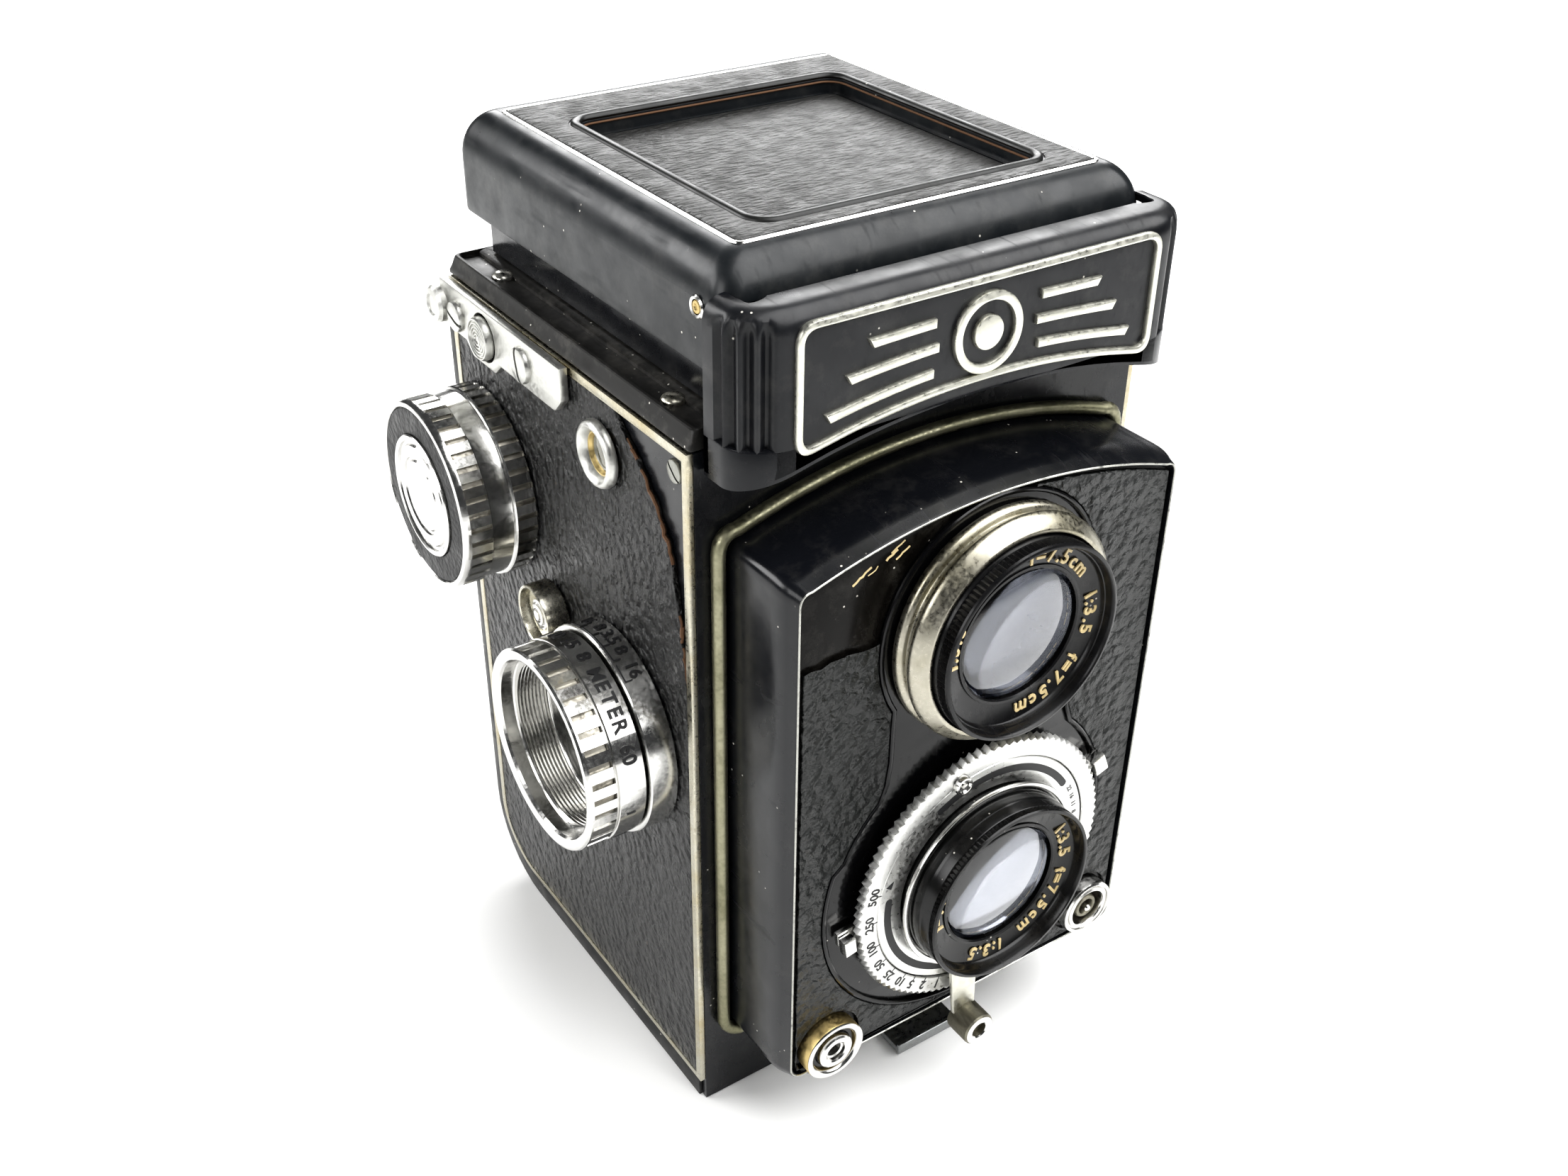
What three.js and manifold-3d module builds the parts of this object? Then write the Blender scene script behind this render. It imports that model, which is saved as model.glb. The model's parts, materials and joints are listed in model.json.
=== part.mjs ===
// Twin lens reflex camera for 6 x 6 roll film, modelled in its working state: back and hood closed,
// front standard racked out. Millimetres, +Z up, lenses towards -Y, winding knobs on the -X side.
// The origin is on the base plate, under the middle of the body.
import * as THREE from "three";
import { mergeVertices } from "three/addons/utils/BufferGeometryUtils.js";
import Module from "manifold-3d";

const wasm = await Module();
wasm.setup();

// ---- Driving dimensions -------------------------------------------------------------------------
const GAP = 0.3; // between pieces that touch
const BODY_HALF = 37.5; // half width of the bare body casting
const SIDE = BODY_HALF + GAP; // inner face of the side leather
const SKIN = 0.6; // leather thickness
const FRONT = -35.3; // body front face
const REAR = 37.3; // outer face of the back
const BODY_TOP = 117.4;
const HEEL = 15; // radius of the lower rear corner
const TAKING_Z = 45.1; // axis of the taking lens
const VIEWING_Z = 88.9; // axis of the viewing lens
const BOARD_HALF = 33.5; // half width of the front standard
const BOARD_BOTTOM = 15.3;
const BOARD_TOP = 109.6; // crown of its arched top
const ARCH_RADIUS = 96;
const BOARD_FRONT = -50.5;
const BOARD_REAR = -34.2;
const POCKET_REAR = -25.8; // the standard slides into this pocket in the body
const WIND = { y: 23.8, z: 87.7, radius: 15 };
const FOCUS = { y: -15.4, z: 64.5, radius: 15.5 };
const COUNTER = { y: -13, z: 108 };
const COUNTER_DIAL = { y: -13, z: 102.5, radius: 8 };
const RELEASE = { y: 5, z: 72.8 };
const RESET = { y: 19.8, z: 112.9 };
const SUPPLY = { y: -11, z: 16.5 }; // axis of the lower film spool
const SPOOL_FLANGE = 11.6;
const LID = {
  half: 34.5, front: -37.5, rear: 36.8, bottom: 127, top: 142, wall: 1.4,
  roof: 3.6, recess: 2.4, corner: 3.4, shoulder: { x: 5.3, z: 6 },
};
const LID_HINGE = { y: -32, z: 135 };
const BACK_HINGE = { y: 38.9, z: 111.5 };

// ---- Solids and meshes --------------------------------------------------------------------------
function toSolid(geometry) {
  const bare = geometry.index ? geometry.toNonIndexed() : geometry.clone();
  bare.deleteAttribute("normal");
  bare.deleteAttribute("uv");
  const merged = mergeVertices(bare, 1e-3);
  const triVerts = new Uint32Array(merged.index.array);
  const vertProperties = merged.attributes.position.array;
  let solid = new wasm.Manifold(new wasm.Mesh({ numProp: 3, vertProperties, triVerts }));
  if (solid.volume() < 0) {
    for (let i = 0; i < triVerts.length; i += 3) {
      [triVerts[i + 1], triVerts[i + 2]] = [triVerts[i + 2], triVerts[i + 1]];
    }
    solid = new wasm.Manifold(new wasm.Mesh({ numProp: 3, vertProperties, triVerts }));
  }
  return solid;
}

function toGeometry(solid) {
  const { numProp, vertProperties, triVerts } = solid.getMesh();
  const flat = new Float32Array((vertProperties.length / numProp) * 3);
  for (let i = 0; i < flat.length / 3; i++) {
    flat.set(vertProperties.subarray(i * numProp, i * numProp + 3), i * 3);
  }
  const geometry = new THREE.BufferGeometry();
  geometry.setAttribute("position", new THREE.BufferAttribute(flat, 3));
  geometry.setIndex(new THREE.BufferAttribute(triVerts, 1));
  geometry.computeVertexNormals();
  return geometry;
}

const join = (...solids) => solids.reduce((a, b) => a.add(b));
const cut = (solid, ...tools) => tools.reduce((a, b) => a.subtract(b), solid);

function box(x0, x1, y0, y1, z0, z1) {
  const geometry = new THREE.BoxGeometry(x1 - x0, y1 - y0, z1 - z0);
  return toSolid(geometry.translate((x0 + x1) / 2, (y0 + y1) / 2, (z0 + z1) / 2));
}

// The three ways to stand an outline up: drawn in (x, y), in (x, z) or in (y, z).
const TURN_XZ = new THREE.Matrix4().makeRotationX(Math.PI / 2);
const TURN_YZ = new THREE.Matrix4().makeBasis(
  new THREE.Vector3(0, 1, 0),
  new THREE.Vector3(0, 0, 1),
  new THREE.Vector3(1, 0, 0),
);

function extrude(shape, depth, curveSegments = 4) {
  return new THREE.ExtrudeGeometry(shape, { depth, bevelEnabled: false, curveSegments });
}
const plateXY = (shape, z0, z1) => toSolid(extrude(shape, z1 - z0).translate(0, 0, z0));
const plateXZ = (shape, y0, y1) =>
  toSolid(extrude(shape, y1 - y0).applyMatrix4(TURN_XZ).translate(0, y1, 0));
const plateYZ = (shape, x0, x1) =>
  toSolid(extrude(shape, x1 - x0).applyMatrix4(TURN_YZ).translate(x0, 0, 0));

const polygon = (points) => new THREE.Shape(points.map(([a, b]) => new THREE.Vector2(a, b)));

// A profile of [radius, distance] turned about an axis through (a, b): distance runs along -Y for
// "front" (a = x, b = z), along -X for "left" and along +X for "right" (a = y, b = z).
function turned(profile, towards, a, b, segments = 28) {
  const points = profile.map(([r, h]) => new THREE.Vector2(r, h));
  const geometry = new THREE.LatheGeometry(points, segments);
  if (towards === "front") geometry.rotateX(Math.PI).translate(a, 0, b);
  if (towards === "left") geometry.rotateZ(Math.PI / 2).translate(0, a, b);
  if (towards === "right") geometry.rotateZ(-Math.PI / 2).translate(0, a, b);
  if (towards === "up") geometry.rotateX(Math.PI / 2).translate(a, b, 0);
  return toSolid(geometry);
}
const disc = (r, h0, h1) => [[0, h0], [r, h0], [r, h1], [0, h1]];
const ring = (inner, outer, h0, h1) => [[inner, h0], [outer, h0], [outer, h1], [inner, h1], [inner, h0]];

// ---- Finishes -----------------------------------------------------------------------------------
const FINISH = {
  black: new THREE.MeshStandardMaterial({ color: 0x17181a, roughness: 0.4, metalness: 0.2 }),
  leather: new THREE.MeshStandardMaterial({ color: 0x2b2c2e, roughness: 0.8, metalness: 0 }),
  chrome: new THREE.MeshStandardMaterial({ color: 0xc9c8c3, roughness: 0.25, metalness: 1 }),
  patina: new THREE.MeshStandardMaterial({ color: 0xb7ad8e, roughness: 0.45, metalness: 0.8 }),
  dull: new THREE.MeshStandardMaterial({ color: 0x77786f, roughness: 0.6, metalness: 0.7 }),
  glass: new THREE.MeshStandardMaterial({ color: 0x5d6378, roughness: 0.05, metalness: 0 }),
  mirror: new THREE.MeshStandardMaterial({ color: 0xdadcdd, roughness: 0.03, metalness: 1 }),
};
const camera = new THREE.Group();
function add(name, solid, finish) {
  const mesh = new THREE.Mesh(toGeometry(solid), FINISH[finish]);
  mesh.name = name;
  camera.add(mesh);
}

// ---- Outlines -----------------------------------------------------------------------------------
// Upright panel in (x, z) with a straight foot, small lower corners and a shallow arched top.
function archedPanel(grow) {
  const half = BOARD_HALF + grow;
  const bottom = BOARD_BOTTOM - grow;
  const radius = ARCH_RADIUS + grow;
  const centre = BOARD_TOP - ARCH_RADIUS;
  const corner = 3;
  const shoulder = Math.asin((half - corner) / radius);
  const shape = new THREE.Shape();
  shape.moveTo(-half + corner, bottom);
  shape.lineTo(half - corner, bottom);
  shape.absarc(half - corner, bottom + corner, corner, -Math.PI / 2, 0, false);
  shape.lineTo(half, centre + radius * Math.cos(shoulder) - corner);
  shape.absarc(0, centre, radius, Math.PI / 2 - shoulder, Math.PI / 2 + shoulder, false);
  shape.lineTo(-half, centre + radius * Math.cos(shoulder) - corner);
  shape.absarc(-half + corner, bottom + corner, corner, Math.PI, Math.PI * 1.5, false);
  return shape;
}

function circle(r, x, y) {
  return new THREE.Path().absarc(x, y, r, 0, Math.PI * 2, true);
}

function roundedBox(x0, x1, y0, y1, r) {
  const shape = new THREE.Shape();
  shape.moveTo(x0 + r, y0);
  shape.lineTo(x1 - r, y0);
  shape.absarc(x1 - r, y0 + r, r, -Math.PI / 2, 0, false);
  shape.lineTo(x1, y1 - r);
  shape.absarc(x1 - r, y1 - r, r, 0, Math.PI / 2, false);
  shape.lineTo(x0 + r, y1);
  shape.absarc(x0 + r, y1 - r, r, Math.PI / 2, Math.PI, false);
  shape.lineTo(x0, y0 + r);
  shape.absarc(x0 + r, y0 + r, r, Math.PI, Math.PI * 1.5, false);
  return shape;
}

// Side outline in (y, z) of the base, heel and rear, pulled in from the outer faces.
function heelOutline(front, inBottom, inRear, top) {
  const shape = new THREE.Shape();
  shape.moveTo(front, inBottom);
  shape.lineTo(REAR - HEEL, inBottom);
  shape.absellipse(REAR - HEEL, HEEL, HEEL - inRear, HEEL - inBottom, -Math.PI / 2, 0, false);
  shape.lineTo(REAR - inRear, top);
  shape.lineTo(front, top);
  return shape;
}

// ---- Body ---------------------------------------------------------------------------------------
const LIP_BOTTOM = 4.1; // how far the back's side lips reach up and in
const LIP_REAR = 2.4;
const CHAMBER_HALF = 33; // film chamber, half width
const GATE_Y = 27; // plane of the film rails
const GATE_HALF = 28; // half of the 56 mm picture

function bodyShell() {
  const shell = join(
    plateYZ(heelOutline(FRONT, LIP_BOTTOM + GAP, LIP_REAR + GAP, BODY_TOP), -BODY_HALF, BODY_HALF),
    box(-BODY_HALF, BODY_HALF, FRONT, FRONT + 1, 0.2, LIP_BOTTOM + 1),
  );
  const mirrorChamber = polygon([
    [-24, 70], [-18.5, 70], [24, 112.5], [28, 112.5], [28, 119], [-28, 119], [-28, 112.5], [-24, 112.5],
  ]);
  const lightChamber = polygon([[-24, 33], [0, 31], [27.5, 18.5], [27.5, 72.5], [-24, 60]]);
  const filmChamber = polygon([
    [-24, 3], [-24, 24], [-19, 28.5], [-3.5, 28.5], [2, 20], [2, 14], [22, 12], [GATE_Y, 17],
    [GATE_Y, 74], [20, 76.5], [-8.9, 76.5], [20.6, 106], [40, 106], [40, 3],
  ]);
  const sideBore = (r, y, z, from, to) => turned(disc(r, from, to), "left", y, z, 14);
  return cut(
    shell,
    plateYZ(mirrorChamber, -30, 30),
    plateYZ(lightChamber, -GATE_HALF - 0.5, GATE_HALF + 0.5),
    plateYZ(filmChamber, -CHAMBER_HALF, CHAMBER_HALF),
    plateXZ(archedPanel(0.5), FRONT - 1, POCKET_REAR),
    turned(disc(18, 20, 30), "front", 0, TAKING_Z, 20),
    turned(disc(16, 20, 30), "front", 0, VIEWING_Z, 20),
    sideBore(3, WIND.y, WIND.z, 30, 40),
    sideBore(3, WIND.y, WIND.z, -40, -30),
    sideBore(3, SUPPLY.y, SUPPLY.z, -40, -30),
    sideBore(3, FOCUS.y, FOCUS.z, 31, 40),
    sideBore(8.6, COUNTER_DIAL.y, COUNTER_DIAL.z, 34.5, 40),
    sideBore(3.3, RELEASE.y, RELEASE.z, 33, 40),
    sideBore(4.1, RESET.y, RESET.z, 35, 40),
    // the top of the back and its hinge turn in this relief
    box(-BODY_HALF - 1, BODY_HALF + 1, 34, 40, 100, 112.4),
  );
}

add("body_shell", bodyShell(), "black");

function sideLeather(sign) {
  const left = sign < 0;
  const near = left ? -SIDE - SKIN : SIDE;
  const hole = (r, { y, z }) => turned(disc(r, 36, 40), left ? "left" : "right", y, z, 14);
  const panel = plateYZ(heelOutline(-33.4, 5.6, 4.4, 115.8), near, near + SKIN);
  if (!left) return cut(panel, hole(3.6, WIND), hole(3.6, SUPPLY));
  // the covering has torn away along the upper front edge
  const torn = polygon([
    [-34, 117], [-15, 117], [-17.1, 114.9], [-22.6, 110.4], [-26.9, 106.1], [-29.8, 101.5], [-32.4, 88.8],
    [-34, 80],
  ]);
  return cut(
    panel,
    hole(3.6, WIND),
    hole(4.2, FOCUS),
    hole(3.9, COUNTER),
    hole(3.6, RELEASE),
    hole(4.1, RESET),
    plateYZ(torn, near - 1, near + 2),
  );
}
add("side_leather_left", sideLeather(-1), "leather");
add("side_leather_right", sideLeather(1), "leather");

// Moulded ledge that carries the hood: a sloping side all round and a square opening.
const LEDGE = { half: 38, draw: 1, bottom: BODY_TOP + GAP, top: 120.3, rear: 35.3 };
function topFlange() {
  const { half, draw, bottom, top, rear } = LEDGE;
  const slope = polygon([[-half, bottom], [half, bottom], [half - draw, top], [draw - half, top]]);
  return cut(
    plateXZ(slope, FRONT, rear),
    plateXY(roundedBox(-30, 30, -28, 31, 1), bottom - 1, top + 1),
  );
}
add("top_flange", topFlange(), "black");
add("focusing_screen", box(-29.6, 29.6, -27.6, 30.6, 117.7, 119.2), "glass");

// The mirror lies on the 45 degree wall behind the viewing lens.
function mirrorPlate() {
  const along = ([t, n]) => [-18.5 + (t - n) * Math.SQRT1_2, 70 + (t + n) * Math.SQRT1_2];
  const outline = polygon([[1.5, 0.35], [58, 0.35], [58, 1.85], [1.5, 1.85]].map(along));
  return plateYZ(outline, -28, 28);
}
add("reflex_mirror", mirrorPlate(), "mirror");

function filmGate() {
  const outline = roundedBox(-31, 31, 14.5, 74, 1);
  outline.holes.push(polygon([
    [-GATE_HALF, 17.1], [-GATE_HALF, 71.5], [GATE_HALF, 71.5], [GATE_HALF, 17.1],
  ]));
  return plateXZ(outline, GATE_Y + GAP, GATE_Y + 1.3);
}
add("film_gate", filmGate(), "dull");

function guideFrame() {
  const outline = archedPanel(1.9);
  outline.holes.push(archedPanel(0.55));
  return plateXZ(outline, FRONT - 2.1, FRONT - GAP);
}
add("guide_frame", guideFrame(), "patina");

// ---- Left side fittings -------------------------------------------------------------------------
const WALL = SIDE + SKIN + GAP; // first free distance from the middle, outside the leather

const LUG_THICKNESS = 1.4;
function lugPlate(sign) {
  const outline = polygon([
    [-4.6, BODY_TOP], [-4.6, 112.6], [-2.4, 110.2], [14.6, 110.2], [16.4, 108.4], [24.2, 108.4],
    [26, 110.2], [34.6, 110.2], [34.6, BODY_TOP],
  ]);
  if (sign < 0) outline.holes.push(circle(3.7, RESET.y, RESET.z));
  const near = sign < 0 ? -WALL - LUG_THICKNESS : WALL;
  return plateYZ(outline, near, near + LUG_THICKNESS);
}
add("lug_plate_left", lugPlate(-1), "chrome");
add("lug_plate_right", lugPlate(1), "chrome");

const LUG_FACE = WALL + LUG_THICKNESS + GAP;
add("lug_stud", turned(
  [[0, LUG_FACE], [2.9, LUG_FACE], [2.9, LUG_FACE + 1.2], [2.4, LUG_FACE + 1.6], [0, LUG_FACE + 1.6]],
  "left", 33.9, 113.6, 18,
), "chrome");
add("counter_reset_button", turned(
  [[0, 36.4], [2, 36.4], [2, 39.2], [3.3, 39.2], [3.3, 40.8], [2.6, 41.2], [0, 41.2]],
  "left", RESET.y, RESET.z, 16,
), "chrome");

add("counter_bezel", turned(
  [[3.5, WALL], [4.9, WALL], [4.8, WALL + 0.8], [4.2, WALL + 1.5], [3.4, WALL + 0.8], [3.5, WALL]],
  "left", COUNTER.y, COUNTER.z, 20,
), "chrome");
add("counter_glass", turned(disc(3, 37.8, WALL + 0.2), "left", COUNTER.y, COUNTER.z, 14), "glass");
add("counter_dial", turned(
  disc(COUNTER_DIAL.radius, 35.5, 36.5), "left", COUNTER_DIAL.y, COUNTER_DIAL.z, 24,
), "patina");

add("release_collar", turned(ring(3.8, 5.2, WALL, 42.6), "left", RELEASE.y, RELEASE.z, 20), "chrome");
add("film_release_button", turned(
  [[0, 35], [2.6, 35], [2.6, 41], [2, 41.8], [0, 42.2]], "left", RELEASE.y, RELEASE.z, 14,
), "chrome");

// Focusing knob: a hollow cup, its engraved collar and the shaft into the body.
add("focus_scale_ring", turned(ring(3.4, 16.1, WALL, 43.2), "left", FOCUS.y, FOCUS.z, 28), "chrome");
add("focus_knob", turned(
  [[0, 32.5], [2.6, 32.5], [2.6, 43.5], [FOCUS.radius, 43.5], [FOCUS.radius, 52.2], [14.9, 52.7],
    [13.2, 52.7], [13.2, 44.7], [0, 44.7]],
  "left", FOCUS.y, FOCUS.z, 28,
), "chrome");

// Winding knob: two gripping bands with a groove between them, leather and a cap in its end.
add("wind_knob", turned(
  [[0, 31.6], [2.6, 31.6], [2.6, WALL], [15.2, WALL], [15.2, 42.4], [14.7, 42.7], [14.7, 45.8],
    [WIND.radius, 46.1], [WIND.radius, 50], [14.4, 50.7], [14.1, 50.7], [14.1, 50], [0, 50]],
  "left", WIND.y, WIND.z, 28,
), "chrome");
add("wind_knob_leather", turned(ring(11, 13.8, 50.3, 50.9), "left", WIND.y, WIND.z, 28), "leather");
add("wind_knob_cap", turned(
  [[0, 50.3], [10.7, 50.3], [10.7, 51], [9.8, 51.3], [8.6, 50.8], [0, 50.8]],
  "left", WIND.y, WIND.z, 28,
), "chrome");

// ---- Right side: sprung knobs whose pins carry the film spools -----------------------------------
const pullKnob = (y, z) => turned(
  [[0, 30], [2.4, 30], [2.4, WALL + 0.6], [6.2, WALL + 0.6], [6.2, 43.4], [5.6, 44], [0, 44]],
  "right", y, z, 20,
);
add("upper_spool_knob", pullKnob(WIND.y, WIND.z), "chrome");
add("lower_spool_knob", pullKnob(SUPPLY.y, SUPPLY.z), "chrome");

// ---- Film spools --------------------------------------------------------------------------------
function spool({ y, z }) {
  const end = 32.3;
  return turned(
    [[0, -end + 3], [3.1, -end + 3], [3.1, -end], [SPOOL_FLANGE, -end], [SPOOL_FLANGE, -end + 1],
      [5.5, -end + 1], [5.5, end - 1], [SPOOL_FLANGE, end - 1], [SPOOL_FLANGE, end], [3.1, end],
      [3.1, end - 3], [0, end - 3]],
    "left", y, z, 20,
  );
}
add("takeup_spool", spool(WIND), "dull");
add("supply_spool", spool(SUPPLY), "dull");

// ---- Back: rear panel, heel and base in one, with its hinge, plate, bush and lock ---------------
const BUSH_Y = -15;
function backDoor() {
  const top = 110.5;
  const skin = 1.5;
  const band = cut(
    plateYZ(heelOutline(-34, 0, 0, top), -38, 38),
    plateYZ(heelOutline(-35, LIP_BOTTOM, LIP_REAR, top + 1), -39, 39),
  );
  const tray = cut(
    band,
    plateYZ(heelOutline(-33, skin, skin, top - skin), -36.4, 36.4),
  );
  return cut(
    join(
      tray,
      box(-20, 20, REAR - 0.5, BACK_HINGE.y, 107.5, BACK_HINGE.z - 0.6),
      turned(disc(1.5, -20, 20), "left", BACK_HINGE.y, BACK_HINGE.z, 10),
    ),
    turned(disc(9.6, -1, 6), "up", 0, BUSH_Y, 20),
  );
}
add("back_door", backDoor(), "black");

function hingeKnuckles() {
  const knuckle = (x0, x1) => join(
    turned(disc(1.5, -x1, -x0), "left", BACK_HINGE.y, BACK_HINGE.z, 10),
    box(x0, x1, 35.6, BACK_HINGE.y, BACK_HINGE.z, BACK_HINGE.z + 1.5),
  );
  return join(
    knuckle(-28, -20.4),
    knuckle(20.4, 28),
    box(-28, 28, 35.6, 37, BACK_HINGE.z + 1.9, BACK_HINGE.z + 5.6),
    box(-28, -20.4, 35.6, 37, BACK_HINGE.z, BACK_HINGE.z + 2.2),
    box(20.4, 28, 35.6, 37, BACK_HINGE.z, BACK_HINGE.z + 2.2),
  );
}
add("back_hinge_leaf", hingeKnuckles(), "black");

add("back_leather", plateXZ(
  roundedBox(-36.6, 36.6, 16, 106.8, 2), REAR + GAP, REAR + GAP + SKIN,
), "leather");
add("pressure_plate", box(-30, 30, 29.4, 30.6, 17, 73), "black");
add("tripod_bush", turned(
  [[3.1, 0.1], [5.6, 0.1], [5.6, 1.8], [9.2, 1.8], [9.2, 3.4], [5.6, 3.4], [5.6, 4], [3.1, 4],
    [3.1, 0.1]],
  "up", 0, BUSH_Y, 20,
), "chrome");
add("back_lock_ring", cut(
  turned(ring(5.9, 9.2, 0.1, 1.5), "up", 0, BUSH_Y, 20),
  box(-0.8, 0.8, BUSH_Y + 7.4, BUSH_Y + 10, -1, 2),
), "chrome");
add("front_catch", join(
  box(-6.3, 6.3, -45.6, -37.2, 0.4, 1.6),
  box(-6.3, 6.3, -45.6, -44.8, 0.4, 2.4),
  turned(disc(1.3, -6.3, 6.3), "left", -37.2, 1.7, 14),
), "dull");

// ---- Hood: base, lid, sports finder flap, folding walls and magnifier ---------------------------
const HOOD = { half: 31.8, wall: 1.4, front: -29, rear: 34.2, bottom: 120.6, top: 129.5 };

function hoodBase() {
  const { half, wall, front, rear, bottom, top } = HOOD;
  const cheek = polygon([
    [front, bottom], [rear, bottom], [rear, top], [-22, top], [-23, 136.8], [-32.8, 136.8],
    [-33.6, 136], [-33.6, 133.2], [-28, 133.2], [front, 129],
  ]);
  const corners = plateXY(
    polygon([
      [-half, -40], [half, -40], [half, rear - 2], [half - 2, rear], [2 - half, rear], [-half, rear - 2],
    ]),
    bottom - 1,
    140,
  );
  return cut(
    join(
      plateYZ(cheek, -half, -half + wall),
      plateYZ(cheek, half - wall, half),
      box(-half, half, front, front + wall, bottom, 124.4),
      box(-half, half, rear - wall, rear, bottom, top),
    ).intersect(corners),
    turned(disc(1.3, -40, 40), "left", LID_HINGE.y, LID_HINGE.z, 10),
  );
}
add("hood_base", hoodBase(), "black");

const hingePin = (towards) => turned(
  [[0, 29.4], [1, 29.4], [1, 34.8], [0, 34.8]], towards, LID_HINGE.y, LID_HINGE.z, 10,
);
add("lid_hinge_pin_left", hingePin("left"), "patina");
add("lid_hinge_pin_right", hingePin("right"), "patina");

const FINDER = { half: 22.4, front: -27.4, rear: 19.9 };
function lidBlock(inset, bottom, top) {
  const width = { round: LID.shoulder.x - inset, low: inset - LID.half, high: LID.half - inset };
  const length = { round: width.round, low: LID.front + inset, high: LID.rear - inset };
  const profile = ({ round, low, high }) => {
    const corner = (end, sign, turn) => [
      end - sign * round * (1 - Math.cos(turn)),
      top - (LID.shoulder.z - inset) * (1 - Math.sin(turn)),
    ];
    const turns = [0, 1, 2, 3, 4].map((step) => (step * Math.PI) / 8);
    return polygon([
      [low, bottom],
      ...turns.map((turn) => corner(low, -1, turn)),
      ...turns.reverse().map((turn) => corner(high, 1, turn)),
      [high, bottom],
    ]);
  };
  const outline = roundedBox(width.low, width.high, length.low, length.high, LID.corner - inset);
  return plateXZ(profile(width), length.low, length.high)
    .intersect(plateYZ(profile(length), width.low, width.high))
    .intersect(plateXY(outline, bottom, top));
}
function lidShell() {
  const { half, wall } = LID;
  const ear = (x0, x1) => box(x0, x1, -4.4, -0.4, 132, 140);
  return cut(
    join(
      cut(lidBlock(0, LID.bottom, LID.top), lidBlock(wall, LID.bottom - 1, LID.top - LID.roof)),
      ear(-24.6, -22.4),
      ear(22.4, 24.6),
    ),
    box(-half + wall, half - wall, LID.front - 1, -34, LID.bottom - 1, 137),
    plateXY(roundedBox(-23, 23, -28, 20.5, 3), LID.top - LID.recess, LID.top + 1),
    box(-FINDER.half, FINDER.half, FINDER.front, FINDER.rear, 137, 143),
    turned(disc(1.3, -40, 40), "left", LID_HINGE.y, LID_HINGE.z, 10),
    turned(disc(1.2, -23.9, 23.9), "left", -2.4, 133.4, 10),
  );
}
add("lid_shell", lidShell(), "black");
add("sports_finder_flap", box(
  -FINDER.half + 0.4, FINDER.half - 0.4, FINDER.front + 0.4, FINDER.rear - 0.4,
  LID.top - LID.roof, LID.top - LID.recess,
), "leather");

// Side walls fold in flat at the bottom of the hood; the rear wall folds over them.
const FLAP = 0.8;
const SIDE_WALL = { x: 28.8, z: 122.4, front: -22, reach: 28.3 };
const REAR_WALL = { y: 31, z: 127.5, half: 28, reach: 31 };
function hoodSideWall(sign) {
  const inner = SIDE_WALL.x - SIDE_WALL.reach;
  const outline = polygon([
    [sign * (SIDE_WALL.x + 0.3), SIDE_WALL.front],
    [sign * inner, SIDE_WALL.front],
    [sign * inner, REAR_WALL.y + 3.6 - SIDE_WALL.reach],
    [sign * (SIDE_WALL.x - 3.8), REAR_WALL.y - 0.2],
    [sign * (SIDE_WALL.x + 0.3), REAR_WALL.y - 0.2],
  ]);
  return plateXY(outline, SIDE_WALL.z - FLAP / 2, SIDE_WALL.z + FLAP / 2);
}
add("hood_wall_left", hoodSideWall(-1), "black");
add("hood_wall_right", hoodSideWall(1), "black");
add("hood_wall_rear", box(
  -REAR_WALL.half, REAR_WALL.half, REAR_WALL.y - REAR_WALL.reach, REAR_WALL.y + 0.3,
  REAR_WALL.z - FLAP / 2, REAR_WALL.z + FLAP / 2,
), "black");

const MAGNIFIER = { hingeY: -2.4, z: 133.4, lensY: 10.6 };
function magnifierArm() {
  const { hingeY, z, lensY } = MAGNIFIER;
  const bar = turned(disc(0.9, -23.8, 23.8), "left", hingeY, z, 10);
  const arm = box(-3, 3, hingeY, lensY - 8.5, z - 0.8, z + 0.8);
  return join(bar, arm, turned(ring(8.4, 10, z - 1, z + 1), "up", 0, lensY, 20));
}
add("magnifier_arm", magnifierArm(), "black");
add("magnifier_lens", turned(
  [[0, 132], [4, 132.3], [8, 133], [8, 133.8], [4, 134.5], [0, 134.8]],
  "up", 0, MAGNIFIER.lensY, 16,
), "glass");

// Nameplate: bent round the front of the hood, its foot resting in front of the ledge.
const PLATE = {
  half: 36.4, flatHalf: 29, bend: { x: 7.4, y: 5.7 }, bendY: -39.6, rear: -36,
  foot: 120.4, top: 138, wall: 1.6, web: 1.2, webRear: -39.5, archCrown: 120.2, archRadius: 120,
};
function namePlate() {
  const { half, flatHalf, bend, bendY, rear, foot, top, wall, web, webRear, archCrown, archRadius } = PLATE;
  const plan = (inset, back) => {
    const shape = new THREE.Shape();
    const x = bend.x - inset;
    const y = bend.y - inset;
    shape.moveTo(inset - half, back);
    shape.lineTo(inset - half, bendY);
    shape.absellipse(-flatHalf, bendY, x, y, Math.PI, Math.PI * 1.5, false);
    shape.absellipse(flatHalf, bendY, x, y, Math.PI * 1.5, Math.PI * 2, false);
    shape.lineTo(half - inset, back);
    return shape;
  };
  const plate = cut(
    plateXY(plan(0, rear), archCrown - 6, top),
    plateXY(plan(wall, rear + 6), foot, top - web),
    box(wall - half, half - wall, webRear, rear + 6, foot, top + 1),
  );
  const arch = new THREE.Shape().absarc(0, archCrown - archRadius, archRadius, 0, Math.PI * 2, false);
  return cut(plate, toSolid(extrude(arch, 20, 36).applyMatrix4(TURN_XZ).translate(0, -34, 0)));
}
add("nameplate", namePlate(), "black");

// ---- Front standard -----------------------------------------------------------------------------
const BUTTON = { x: -25.5, z: 20.5 };
const SOCKET = { x: 25.5, z: 23 };

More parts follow.
